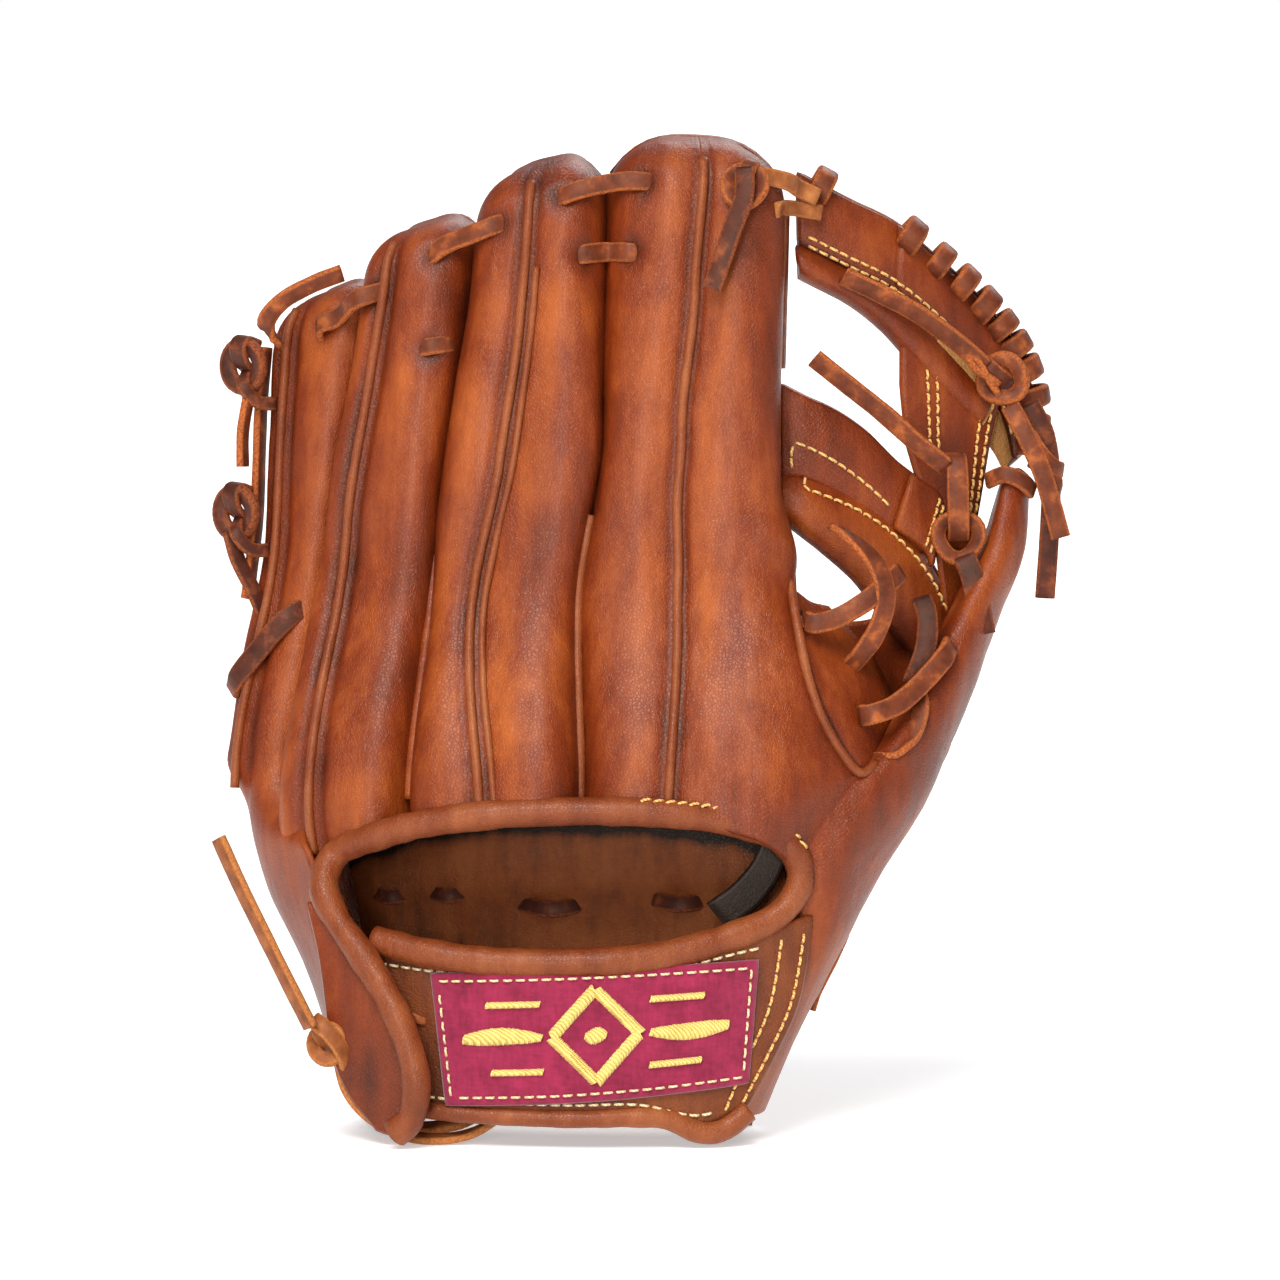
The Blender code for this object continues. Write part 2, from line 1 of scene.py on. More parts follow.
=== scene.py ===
"""The looks of the fielder's glove: leather, lacing, stitching and felt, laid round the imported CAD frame.

Shapes are worked out in millimetres in part.py's own layout, and place() turns them into metres.
"""

import math
import random

import bpy
import numpy as np
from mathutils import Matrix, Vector, noise


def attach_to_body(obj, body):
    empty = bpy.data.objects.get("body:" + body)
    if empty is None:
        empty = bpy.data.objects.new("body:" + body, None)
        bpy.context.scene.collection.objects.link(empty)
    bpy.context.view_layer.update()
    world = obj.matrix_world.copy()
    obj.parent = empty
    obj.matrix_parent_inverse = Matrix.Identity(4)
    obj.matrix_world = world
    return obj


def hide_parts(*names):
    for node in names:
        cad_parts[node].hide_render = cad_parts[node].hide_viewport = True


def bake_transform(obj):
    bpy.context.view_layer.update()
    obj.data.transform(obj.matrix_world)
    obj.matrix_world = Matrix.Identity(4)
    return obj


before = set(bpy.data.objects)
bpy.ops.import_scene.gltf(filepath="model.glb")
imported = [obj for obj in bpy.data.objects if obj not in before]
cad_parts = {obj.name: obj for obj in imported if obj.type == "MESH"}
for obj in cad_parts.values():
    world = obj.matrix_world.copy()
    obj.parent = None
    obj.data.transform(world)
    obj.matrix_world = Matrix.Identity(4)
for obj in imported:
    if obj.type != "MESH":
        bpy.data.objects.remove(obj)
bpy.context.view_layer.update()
random.seed(11)

MM = 0.001
SHIFT = Vector((0.35, -11.33, 0.0))

LEATHER = 2.2
WEB_LEATHER = 2.6
LACE_WIDTH = 5.6
LACE_THICK = 2.3
ROLL_RADIUS = 4.1
WELT_RADIUS = 1.35
FIT = 0.45
TINY = 1e-9

# How a sheet's rim stands out and wears, and how worn rolls are.
RIM_BULGE = 0.4
RIM_WEAR = 0.35
ROD_WEAR = 0.25
FINGER_ROUGH = 0.5
# mm from one point to the next along laces and rolls.
PATH_STEP = 1.6
# How high a stitch stands at five points along it, as shares of its radius, and how far all of it is lifted.
STITCH_RISE = (-0.5, 0.6, 0.85, 0.6, -0.5)
STITCH_LIFT = 0.25

# The slot of each material of MATERIALS, apart from the laces.
SLOTS = {
    "leather": "shell_leather",
    "strap": "shell_leather",
    "suede": "shell_leather",
    "thread": "shell_leather",
    "pale_thread": "shell_leather",
    "binding": "binding_leather",
    "liner": "liner_leather",
    "tab": "liner_leather",
    "felt": "felt_pad",
    "label": "label_felt",
    "gold": "label_felt",
}

CREASE_X = 47.0
POCKET_Y = 14.0
FINGER_WRAP = 18.0
THUMB_WRAP = 62.0
HEEL_BULGE = 12.0
TIP_CURL = 16.0

# The palm line of each edge between fingers, as (height, x), and the yaw of the wall that rises from it.
EDGES = (
    (((0, -72), (40, -84), (90, -91), (140, -93), (245, -91)), 66),
    (((0, -46), (60, -72), (90, -77), (150, -79), (245, -69)), 38),
    (((0, -20), (60, -48), (98, -53), (160, -52), (262, -42)), 18),
    (((0, 6), (60, -8), (98, -14), (150, -16), (200, -9), (285, -8)), 4),
    (((0, 30), (44, 47), (95, 46), (158, 44), (185, 38), (285, 40)), -8),
)
# Each finger: its left edge, root heights, tip heights and depth against the others.
FINGERS = {
    "pinky": (0, (90, 88.5), (236, 243), 0.78),
    "ring": (1, (89, 96), (255, 262), 0.98),
    "middle": (2, (97.5, 99), (272, 279), 1.0),
    "index": (3, (101, 93.5), (283, 281), 0.86),
}
TIP_DEPTH = 25.0
ROOT_DEPTH = 50.0
TIP_ROUND = 20.0
# How square the tips are, here and in the CAD model, and how square the CAD model's backs are.
TIP_SQUARE = 3.0
CAD_TIP_SQUARE = 2.4
CAD_FULLNESS = 2.6
CORNER_DROP = 5.0
# How far the leather swells between the welts, and the mm from a welt over which it does.
SWELL = 2.3
SWELL_REACH = 7.5
# mm from a welt to the groove beside it and to the worn crest beyond, and how wide both are.
GROOVE_AT, GROOVE_WIDTH = 2.0, 0.9
CREST_AT, CREST_WIDTH = 8, 4

# Where each finger's welt runs, as (height, s).
WELTS = {
    "pinky": ((86, 0.0), (130, -0.15), (170, -0.28), (205, -0.34), (232, -0.34)),
    "ring": ((84, -0.25), (140, -0.35), (180, -0.4), (215, -0.35), (252, -0.25)),
    "middle": ((90, -0.05), (150, -0.35), (190, -0.2), (230, -0.1), (270, -0.05)),
    "index": ((90, -0.27), (150, -0.12), (200, -0.12), (240, 0.0), (278, 0.08)),
}


def ease(t):
    t = min(max(t, 0.0), 1.0)
    return t * t * (3 - 2 * t)


def smooth_path(points, count):
    """count + 1 points on a smooth curve through the given ones."""
    points = [Vector(p) for p in points]
    ends = [2 * points[0] - points[1], *points, 2 * points[-1] - points[-2]]
    found = []
    for step in range(count + 1):
        place_on = step * (len(points) - 1) / count
        i = min(int(place_on), len(points) - 2)
        t = place_on - i
        a, b, c, d = ends[i : i + 4]
        bend = 2 * a - 5 * b + 4 * c - d
        found.append(0.5 * (2 * b + (c - a) * t + bend * t**2 + (3 * b - a - 3 * c + d) * t**3))
    return found


def even_path(points, count):
    """The same curve with its points an equal way apart."""
    fine = np.array(smooth_path(points, 240))
    way = np.concatenate([[0], np.cumsum(np.linalg.norm(np.diff(fine, axis=0), axis=1))])
    at = np.linspace(0, way[-1], count + 1)
    return [Vector(p) for p in np.stack([np.interp(at, way, fine[:, k]) for k in range(3)], 1)]


def surface(rows, across, along):
    """A net of points resampled smoothly to across + 1 by along + 1 points."""
    fine = [smooth_path(row, across) for row in rows]
    columns = [smooth_path([row[i] for row in fine], along) for i in range(across + 1)]
    return np.array([[column[j] for column in columns] for j in range(along + 1)])


def value_at(table, z):
    """Reads a short (height, value) table smoothly."""
    if z <= table[0][0]:
        return table[0][1]
    for (low, first), (high, last) in zip(table, table[1:]):
        if z <= high:
            return first + (last - first) * ease((z - low) / (high - low))
    return table[-1][1]


# ---------------------------------------------------------------- glove shape, as in part.py


def palm_y(x, z):
    """The palm's own surface: a pocket that wraps forward at both sides and curls back at the tips."""
    side = (x - CREASE_X) / 100
    wrap = FINGER_WRAP * side**2 * (0.6 + 0.4 * ease(z / 90)) if side < 0 else THUMB_WRAP * side**1.4
    heel = HEEL_BULGE * (1 - ease(z / 95)) * ease((50 - x) / 45)
    curl = TIP_CURL * max(0.0, (z - 120) / 165) ** 2
    return POCKET_Y + wrap + heel + curl


def strap_y(x):
    return -34 + 16 * ((x + 12) / 64) ** 2


def edge_x(edge, z):
    return value_at(EDGES[edge][0], z)


def wall(edge):
    yaw = math.radians(EDGES[edge][1])
    return Vector((-math.sin(yaw), -math.cos(yaw), 0))


def tip_height(name, s, drop=CORNER_DROP):
    tips = FINGERS[name][2]
    return tips[0] + (tips[1] - tips[0]) * (s + 1) / 2 - drop * abs(s) ** 4


def fullness(name, s, z):
    """How square a finger's back is: nearly flat over the hand, rounder at the tips and the hand's side."""
    if name == "pinky" and s < 0:
        return CAD_FULLNESS + 1.8 * ease((z - 108) / 50)
    return 2.9 + 2.0 * (1 - ease((z - 165) / 95))


def finger_point(name, s, z, lift=0.0, inset=0.0, full=0.0):
    """A point on a finger's back: s runs from -1 at the pinky side to 1, and lift stands off the leather.

    full gives the rounder shape of the CAD model, and how square its back is.
    """
    square, drop = (CAD_TIP_SQUARE, 0.0) if full else (TIP_SQUARE, CORNER_DROP)
    full = full or fullness(name, s, z)
    edge, _, _, share = FINGERS[name]
    near_tip = min(max((z - (tip_height(name, s, drop) - TIP_ROUND)) / TIP_ROUND, 0.0), 0.985)
    closing = (1 - near_tip**square) ** (1 / square)
    depth = TIP_DEPTH + (ROOT_DEPTH - TIP_DEPTH) * (1 - ease((z - 90) / 80))
    depth = (depth * share - inset) * closing
    left, right = edge_x(edge, z) + FIT + inset, edge_x(edge + 1, z) - FIT - inset
    middle, half = (left + right) / 2, (right - left) / 2 * (0.55 + 0.45 * closing)
    height = (1 - abs(s) ** full) ** (1 / full)
    mix = (s + 1) / 2
    way = (wall(edge) * (1 - mix) + wall(edge + 1) * mix).normalized()
    foot = Vector((middle + half * s, palm_y(middle + half * s, z) - 2 * FIT, z))
    out = way + Vector((s, 0, 0)) * 0.8 * abs(s) ** 3
    return foot + way * depth * height + out.normalized() * lift


def half_width(name, z):
    edge = FINGERS[name][0]
    return (edge_x(edge + 1, z) - edge_x(edge, z)) / 2


def on(name, *places):
    return [finger_point(name, *spot) for spot in places]


def on_cad(name, *places):
    """The same on the CAD model's rounder finger, which the free lace ends follow."""
    return [finger_point(name, *spot, full=CAD_FULLNESS) for spot in places]


# ---------------------------------------------------------------- meshes


def place(points):
    return (np.asarray(points, float).reshape(-1, 3) + np.array(SHIFT)) * MM


def make_object(name, points, faces, kind, values=None):
    """A smooth mesh from millimetre points. values holds named numbers, one for each point."""
    mesh = bpy.data.meshes.new(name)
    mesh.from_pydata(place(points).tolist(), [], [tuple(f) for f in faces])
    mesh.update()
    mesh.shade_smooth()
    for key, numbers in (values or {}).items():
        layer = mesh.attributes.new(key, "FLOAT", "POINT")
        layer.data.foreach_set("value", np.asarray(numbers, np.float32))
    mesh.materials.append(MATERIALS[kind])
    obj = bpy.data.objects.new(name, mesh)
    bpy.context.scene.collection.objects.link(obj)
    return obj


def grid_faces(rows, columns):
    return [
        (r * columns + c, r * columns + c + 1, (r + 1) * columns + c + 1, (r + 1) * columns + c)
        for r in range(rows - 1)
        for c in range(columns - 1)
    ]


def point_normals(points, faces):
    faces = np.asarray(faces)
    quad = points[faces]
    each = np.cross(quad[:, 2] - quad[:, 0], quad[:, 3] - quad[:, 1])
    total = np.zeros_like(points)
    for k in range(4):
        np.add.at(total, faces[:, k], each)
    return total / np.maximum(np.linalg.norm(total, axis=1, keepdims=True), 1e-9)


def crumple(points, normals, amount, stretch=(1, 1, 0.4)):
    """Soft unevenness: broad swells and finer creases that run up the leather."""
    moved = np.empty(len(points))
    for i, p in enumerate(points):
        q = Vector((p[0] * stretch[0], p[1] * stretch[1], p[2] * stretch[2]))
        moved[i] = noise.noise(q / 17) + 0.45 * noise.noise(q / 7 + Vector((9, 4, 2)))
        moved[i] += 0.16 * noise.noise(q / 2.9)
    return points + normals * moved[:, None] * amount


def thicken(points, faces, thick, wear_and_shade):
    """Gives an open sheet a back and a rounded, worn rim. Its front is the side that its faces turn to."""
    count = len(points)
    normals = point_normals(points, faces)
    back = points - normals * thick
    sides = dict.fromkeys(side for face in faces for side in zip(face, (*face[1:], face[0])))
    rim = [(a, b) for a, b in sides if (b, a) not in sides]
    outward = {}
    for a, b in rim:
        out = np.cross(points[b] - points[a], normals[a])
        for end in (a, b):
            outward[end] = outward.get(end, 0) + out / max(np.linalg.norm(out), TINY)
    middle, extra = {}, []
    for a, out in outward.items():
        middle[a] = 2 * count + len(extra)
        extra.append((points[a] + back[a]) / 2 + out / max(np.linalg.norm(out), TINY) * thick * RIM_BULGE)
    made = [tuple(f) for f in faces] + [tuple(count + i for i in reversed(f)) for f in faces]
    for a, b in rim:
        made += [(a, middle[a], middle[b], b), (middle[a], count + a, count + b, middle[b])]
    wear_and_shade = np.concatenate([wear_and_shade, wear_and_shade, [wear_and_shade[a] + RIM_WEAR for a in outward]])
    return np.concatenate([points, back, np.array(extra)]), made, wear_and_shade


def attach(obj, body, nodes=()):
    """Puts a piece on its body; leather that bends with the thumb, given as both, has its placement baked
    into its mesh and goes on no body.
    """
    if body == "both":
        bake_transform(obj)
    else:
        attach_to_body(obj, body)
    if nodes:
        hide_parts(*nodes)
    return obj


def sheet(name, grid, body, nodes=(), kind="leather", thick=LEATHER, rough=0.3, wear_and_shade=None):
    """Leather or cloth from a net of points."""
    grid = np.asarray(grid, float)
    faces = grid_faces(*grid.shape[:2])
    points = grid.reshape(-1, 3)
    points = crumple(points, point_normals(points, faces), rough)
    shaded_and_worn = np.zeros(len(points)) if wear_and_shade is None else np.asarray(wear_and_shade, float).ravel()
    points, faces, shaded_and_worn = thicken(points, faces, thick, shaded_and_worn)
    made = make_object(name, points, faces, kind, {"wear_and_shade": shaded_and_worn})
    return attach(made, body, nodes)


def distances(points):
    """How far along a path each of its points lies."""
    way = [0.0]
    for a, b in zip(points, points[1:]):
        way.append(way[-1] + (b - a).length)
    return way


def stepped_path(points, step, fine, fewest):
    """The curve through the points, with a point about every step mm, counted on fine + 1 points."""
    length = distances(smooth_path(points, fine))[-1]
    return even_path(points, max(fewest, int(length / step)))


def ribbon_profile(width, thick, steps=3):
    """A flat lace's section: a rectangle with rounded corners, and 1 where its raw edge is."""
    corner = thick * 0.36
    spots = []
    for cx, cy, start in ((1, 1, 0), (-1, 1, 90), (-1, -1, 180), (1, -1, 270)):
        for k in range(steps):
            angle = math.radians(start + 90 * k / (steps - 1))
            x = cx * (width / 2 - corner) + corner * math.cos(angle)
            y = cy * (thick / 2 - corner) + corner * math.sin(angle)
            spots.append((x, y, 1.0 if abs(x) > width / 2 - corner * 0.5 else 0.0))
    return spots


def round_profile(radius, sides):
    """A round section."""
    turns = [2 * math.pi * k / sides for k in range(sides)]
    return [(radius * math.cos(a), radius * math.sin(a), 0.0) for a in turns]


def add_section(points, raw, profile, centre, way, across, grow=1.0):
    """Adds a section's points, its width turned towards across."""
    side = (across - across.project(way)).normalized()
    up = way.cross(side)
    for u, v, edge in profile:
        points.append(centre + side * u * grow + up * v * grow)
        raw.append(edge)


def ring_faces(rings, sides, closed=False):
    """The faces between neighbouring sections."""
    faces = []
    for r in range(rings if closed else rings - 1):
        here, there = r * sides, (r + 1) % rings * sides
        for k in range(sides):
            n = (k + 1) % sides
            faces.append((here + k, here + n, there + n, there + k))
    return faces


def sweep(path, across, profile, swell=0.0, taper=None):
    """(points, faces, raw) of a section carried along a path, with both ends closed."""
    across = Vector(across)
    points, raw = [], []
    last = len(path) - 1
    for i, point in enumerate(path):
        way = (path[min(i + 1, last)] - path[max(i - 1, 0)]).normalized()
        grow = 1 + swell * noise.noise(point / 5.0) + (0 if taper is None else taper(i / last))
        add_section(points, raw, profile, point, way, across, grow)
    sides = len(profile)
    faces = ring_faces(len(path), sides)
    faces += end_cap(points, raw, 0, sides, True, path[0])
    faces += end_cap(points, raw, last * sides, sides, False, path[-1])
    return points, faces, raw


def end_cap(points, raw, first, sides, turned, middle):
    """Closes an end with a fan round its middle."""
    points.append(Vector(middle))
    raw.append(1.0)
    last = len(points) - 1
    ends = [(first + k, first + (k + 1) % sides) for k in range(sides)]
    return [(b, a, last) if turned else (a, b, last) for a, b in ends]


def merged(parts):
    """Several (points, faces, raw) as one."""
    points, faces, raw = [], [], []
    for some, these, edges in parts:
        faces += [tuple(len(points) + i for i in f) for f in these]
        points += list(some)
        raw += list(edges)
    return points, faces, raw


def lace_part(points, across, width=LACE_WIDTH, thick=LACE_THICK, step=PATH_STEP):
    """A length of flat lace along a smooth curve."""
    path = stepped_path(points, step, 60, 6)
    return sweep(path, across, ribbon_profile(width, thick), swell=0.05)


def lace(name, parts, body, nodes=(), shade="lace"):
    """One or more lengths of lace as one piece."""
    points, faces, raw = merged(parts)
    attach(make_object(name, points, faces, shade, {"raw": raw}), body, nodes)


def rod(name, points, radius, body, nodes=(), kind="binding", rough=0.08, taper=None):
    """A roll, welt or piping."""
    path = stepped_path(points, PATH_STEP, 80, 8)
    spots, faces, _ = sweep(path, (0.05, -0.4, 1), round_profile(radius, 14), rough, taper)
    obj = make_object(name, spots, faces, kind, {"wear_and_shade": [ROD_WEAR] * len(spots)})
    attach(obj, body, nodes)


def on_net(grid, spots, count):
    """Points and normals along a line over a net, given by shares across and along it."""
    rows, columns = grid.shape[:2]
    points = grid.reshape(-1, 3)
    normals = point_normals(points, grid_faces(rows, columns)).reshape(grid.shape)
    found = []
    for p in smooth_path([(u, v, 0) for u, v in spots], count):
        u = min(max(p.x, 0), 1) * (columns - 1)
        v = min(max(p.y, 0), 1) * (rows - 1)
        c, r = min(int(u), columns - 2), min(int(v), rows - 2)
        a, b = u - c, v - r
        cells = (
            (r, c, (1 - a) * (1 - b)),
            (r, c + 1, a * (1 - b)),
            (r + 1, c, (1 - a) * b),
            (r + 1, c + 1, a * b),
        )
        spot = sum(grid[i, j] * w for i, j, w in cells)
        facing = sum(normals[i, j] * w for i, j, w in cells)
        found.append((Vector(spot), Vector(facing).normalized()))
    return found


def stitch_parts(line, pitch=3.3, length=2.5, radius=0.42, slant=0.0):
    """Thread stitches sunk at both ends along a line of (point, normal); slant turns each one askew."""
    way = distances([point for point, _ in line])

    def spot(distance):
        i = max(0, min(int(np.searchsorted(way, distance)) - 1, len(line) - 2))
        t = (distance - way[i]) / max(way[i + 1] - way[i], TINY)
        return line[i][0].lerp(line[i + 1][0], t), line[i][1].lerp(line[i + 1][1], t).normalized()

    parts = []
    for k in range(int(way[-1] / pitch)):
        start = (k + 0.15) * pitch + random.uniform(-0.12, 0.12)
        ends = [spot(min(start + length * t, way[-1])) for t in (0, 0.25, 0.5, 0.75, 1)]
        along = (ends[-1][0] - ends[0][0]).normalized()
        path = []
        for j, ((point, normal), rise) in enumerate(zip(ends, STITCH_RISE)):
            lean = normal.cross(along) * slant * (j - 2) / 2
            path.append(point + normal * (STITCH_LIFT + radius * rise) + lean)
        parts.append(sweep(path, along.cross(ends[0][1]), round_profile(radius, 6)))
    return parts


def stitching(name, lines, body, shade="thread", slot=None, **how):
    """One or more rows of stitches as one piece."""
    points, faces, _ = merged([part for line in lines for part in stitch_parts(line, **how)])
    attach(make_object(name, points, faces, shade), body)


# ---------------------------------------------------------------- materials


def add(tree, kind, inputs=(), **settings):
    """A node with its settings, and its inputs as values or links."""
    made = tree.nodes.new(kind)
    for key, value in settings.items():
        setattr(made, key, value)
    for key, value in dict(inputs).items():
        if isinstance(value, bpy.types.NodeSocket):
            tree.links.new(value, made.inputs[key])
        else:
            made.inputs[key].default_value = value
    return made


def start_material(name, roughness, coat=0.0, sheen=0.0, specular=0.5):
    """A new material, with its tree and its shader."""
    material = bpy.data.materials.new(name)
    material.use_nodes = True
    tree = material.node_tree
    shader = tree.nodes["Principled BSDF"]
    shader.inputs["Roughness"].default_value = roughness
    shader.inputs["Specular IOR Level"].default_value = specular
    shader.inputs["Specular Tint"].default_value = (1.0, 0.78, 0.62, 1.0)
    shader.inputs["Coat Weight"].default_value = coat
    shader.inputs["Coat Roughness"].default_value = 0.36
    shader.inputs["Sheen Weight"].default_value = sheen
    shader.inputs["Sheen Roughness"].default_value = 0.5
    return material, tree, shader


def ramp(tree, factor, stops):
    made = add(tree, "ShaderNodeValToRGB", {"Fac": factor})
    points = made.color_ramp.elements
    while len(points) < len(stops):
        points.new(0.5)
    for point, (position, colour) in zip(points, stops):
        point.position = position
        point.color = (*colour, 1)
    return made.outputs["Color"]


def maths(tree, operation, a, b=0.5, c=0.5, clamp=False):
    """The result of one math node."""
    made = add(tree, "ShaderNodeMath", operation=operation, use_clamp=clamp)
    for socket, value in zip(made.inputs, (a, b, c)):
        if isinstance(value, bpy.types.NodeSocket):
            tree.links.new(value, socket)
        else:
            socket.default_value = value
    return made.outputs[0]


def noise_at(tree, where, scale, detail=4.0, stretch=(1, 1, 1), rough=0.55):
    scaled = add(tree, "ShaderNodeMapping", {"Vector": where, "Scale": stretch})
    made = add(
        tree,
        "ShaderNodeTexNoise",
        {"Vector": scaled.outputs["Vector"], "Scale": scale, "Detail": detail, "Roughness": rough},
    )
    return made.outputs["Fac"]


def leather(name, dark, mid, light, roughness=0.4, grain=0.36, coat=0.16):
    """Oiled leather: cloudy colour, fine pores, drawn creases, pale worn ridges, and painted shade in the
    hollows.
    """
    material, tree, shader = start_material(name, roughness, coat, specular=0.32)
    where = add(tree, "ShaderNodeTexCoord").outputs["Object"]
    wear_and_shade = add(tree, "ShaderNodeAttribute", attribute_name="wear_and_shade").outputs["Fac"]
    clouds = noise_at(tree, where, 16, 3)
    mottle = noise_at(tree, where, 75, 6, (1, 1, 0.55), 0.62)
    streaks = noise_at(tree, where, 230, 5, (1, 1, 0.14))
    spots = noise_at(tree, where, 600, 3)
    tone = maths(tree, "MULTIPLY_ADD", clouds, 0.75, maths(tree, "MULTIPLY", mottle, 0.55))
    tone = maths(tree, "MULTIPLY_ADD", streaks, 0.34, maths(tree, "SUBTRACT", tone, 0.09))
    tone = maths(tree, "MULTIPLY_ADD", spots, 0.12, tone)
    # Wear lightens the tone and painted shade darkens it.
    tone = maths(tree, "MULTIPLY_ADD", wear_and_shade, 0.32, maths(tree, "SUBTRACT", tone, 0.3), clamp=True)
    colour = ramp(tree, tone, ((0.2, dark), (0.5, mid), (0.84, light)))
    tree.links.new(colour, shader.inputs["Base Color"])
    rough = maths(tree, "MULTIPLY_ADD", mottle, 0.3, roughness - 0.15)
    tree.links.new(rough, shader.inputs["Roughness"])
    pores = add(
        tree,
        "ShaderNodeTexVoronoi",
        {"Vector": where, "Scale": 1050.0, "Randomness": 1.0},
        feature="DISTANCE_TO_EDGE",
    ).outputs["Distance"]
    cells = maths(tree, "MINIMUM", maths(tree, "MULTIPLY", pores, 3.0), 0.5)
    creases = noise_at(tree, where, 420, 5, (1, 1, 0.3))
    folds = noise_at(tree, where, 130, 4, (1, 1, 0.35))
    height = maths(tree, "MULTIPLY_ADD", creases, 1.1, cells)
    height = maths(tree, "MULTIPLY_ADD", mottle, 1.6, height)
    height = maths(tree, "MULTIPLY_ADD", folds, 2.4, height)
    bump = add(tree, "ShaderNodeBump", {"Height": height, "Strength": grain, "Distance": 0.0008})
    tree.links.new(bump.outputs["Normal"], shader.inputs["Normal"])
    return material


def lace_leather(name, face, raw, dark):
    """Rawhide lace, dull on its face and fibrous and pale on its cut edges."""
    material, tree, shader = start_material(name, 0.55, specular=0.22)
    where = add(tree, "ShaderNodeTexCoord").outputs["Object"]
    edge = add(tree, "ShaderNodeAttribute", attribute_name="raw").outputs["Fac"]
    mottle = noise_at(tree, where, 190, 6)
    fine = noise_at(tree, where, 1500, 4)
    skin = ramp(tree, mottle, ((0.3, dark), (0.55, face), (0.78, raw)))
    fibre = ramp(tree, fine, ((0.32, face), (0.6, raw)))
    mixed = add(tree, "ShaderNodeMix", {"Factor": edge}, data_type="RGBA")
    tree.links.new(skin, mixed.inputs["A"])
    tree.links.new(fibre, mixed.inputs["B"])
    tree.links.new(mixed.outputs["Result"], shader.inputs["Base Color"])
    height = maths(tree, "MULTIPLY_ADD", mottle, 0.8, fine)
    bump = add(tree, "ShaderNodeBump", {"Height": height, "Strength": 0.3, "Distance": 0.0005})
    tree.links.new(bump.outputs["Normal"], shader.inputs["Normal"])
    rough = maths(tree, "MULTIPLY_ADD", edge, 0.3, 0.46)
    tree.links.new(rough, shader.inputs["Roughness"])
    return material


def felt(name, dark, light):
    """Matted wool: short crossed fibres."""
    material, tree, shader = start_material(name, 0.92, sheen=0.35, specular=0.2)
    where = add(tree, "ShaderNodeTexCoord").outputs["Object"]
    along = noise_at(tree, where, 900, 5, (1, 1, 0.25), 0.7)
    across = noise_at(tree, where, 900, 5, (0.25, 1, 1), 0.7)
    clouds = noise_at(tree, where, 110, 4)
    fibres = maths(tree, "MULTIPLY", maths(tree, "ADD", along, across), 0.5)
    tone = maths(tree, "MULTIPLY_ADD", clouds, 0.45, maths(tree, "MULTIPLY", fibres, 0.6))
    tree.links.new(ramp(tree, tone, ((0.34, dark), (0.68, light))), shader.inputs["Base Color"])
    bump = add(tree, "ShaderNodeBump", {"Height": fibres, "Strength": 0.55, "Distance": 0.0007})
    tree.links.new(bump.outputs["Normal"], shader.inputs["Normal"])
    return material


def thread(name, dark, light):
    """Twisted waxed thread."""
    material, tree, shader = start_material(name, 0.5, sheen=0.2)
    where = add(tree, "ShaderNodeTexCoord").outputs["Object"]
    twist = add(
        tree,
        "ShaderNodeTexWave",
        {"Vector": where, "Scale": 420.0, "Distortion": 2.5, "Detail": 1.0},
        bands_direction="DIAGONAL",
    ).outputs["Fac"]
    shade = noise_at(tree, where, 300, 3)
    tone = maths(tree, "MULTIPLY_ADD", twist, 0.5, maths(tree, "MULTIPLY", shade, 0.6))
    tree.links.new(ramp(tree, tone, ((0.2, dark), (0.75, light))), shader.inputs["Base Color"])
    bump = add(tree, "ShaderNodeBump", {"Height": twist, "Strength": 0.5, "Distance": 0.0003})
    tree.links.new(bump.outputs["Normal"], shader.inputs["Normal"])
    return material


# Leathers are given dark, middle and light colours, and laces the colours of face, raw edge and stains.
MATERIALS = {
    "leather": leather("shell_leather", (0.05, 0.0058, 0.0012), (0.17, 0.023, 0.0026), (0.36, 0.078, 0.0105)),
    "binding": leather(
        "binding_leather", (0.075, 0.0115, 0.0025), (0.18, 0.035, 0.0075), (0.32, 0.09, 0.025), 0.4
    ),
    "strap": leather(
        "strap_leather", (0.045, 0.008, 0.002), (0.13, 0.026, 0.005), (0.26, 0.065, 0.014), 0.5, 0.4
    ),
    # The liner's near-black dark colour carries the painted shadow under the opening's rolled edge.
    "liner": leather(
        "liner_leather", (0.006, 0.002, 0.001), (0.2, 0.046, 0.009), (0.31, 0.095, 0.022), 0.5, 0.4, 0.05
    ),
    "suede": leather("raw_suede", (0.3, 0.12, 0.03), (0.5, 0.24, 0.075), (0.66, 0.38, 0.14), 0.85, 0.5, 0.0),
    "lace": lace_leather("rawhide_lace", (0.155, 0.036, 0.014), (0.42, 0.11, 0.026), (0.075, 0.018, 0.009)),
    "tan_lace": lace_leather("tan_lace", (0.27, 0.08, 0.022), (0.45, 0.17, 0.05), (0.15, 0.04, 0.012)),
    "dark_lace": lace_leather("dark_lace", (0.075, 0.019, 0.011), (0.26, 0.065, 0.02), (0.035, 0.01, 0.007)),
    "felt": felt("felt_padding", (0.34, 0.3, 0.24), (0.6, 0.56, 0.48)),
    "label": felt("label_felt", (0.12, 0.005, 0.022), (0.33, 0.02, 0.07)),
    "thread": thread("stitch_thread", (0.45, 0.17, 0.03), (0.92, 0.56, 0.17)),
    "pale_thread": thread("border_thread", (0.5, 0.33, 0.14), (0.86, 0.72, 0.42)),
    "gold": thread("embroidery_thread", (0.48, 0.31, 0.06), (0.86, 0.68, 0.2)),
    "tab": leather(
        "tab_leather", (0.008, 0.005, 0.004), (0.02, 0.011, 0.008), (0.05, 0.028, 0.02), 0.45, 0.2
    ),
}

# ---------------------------------------------------------------- fingers

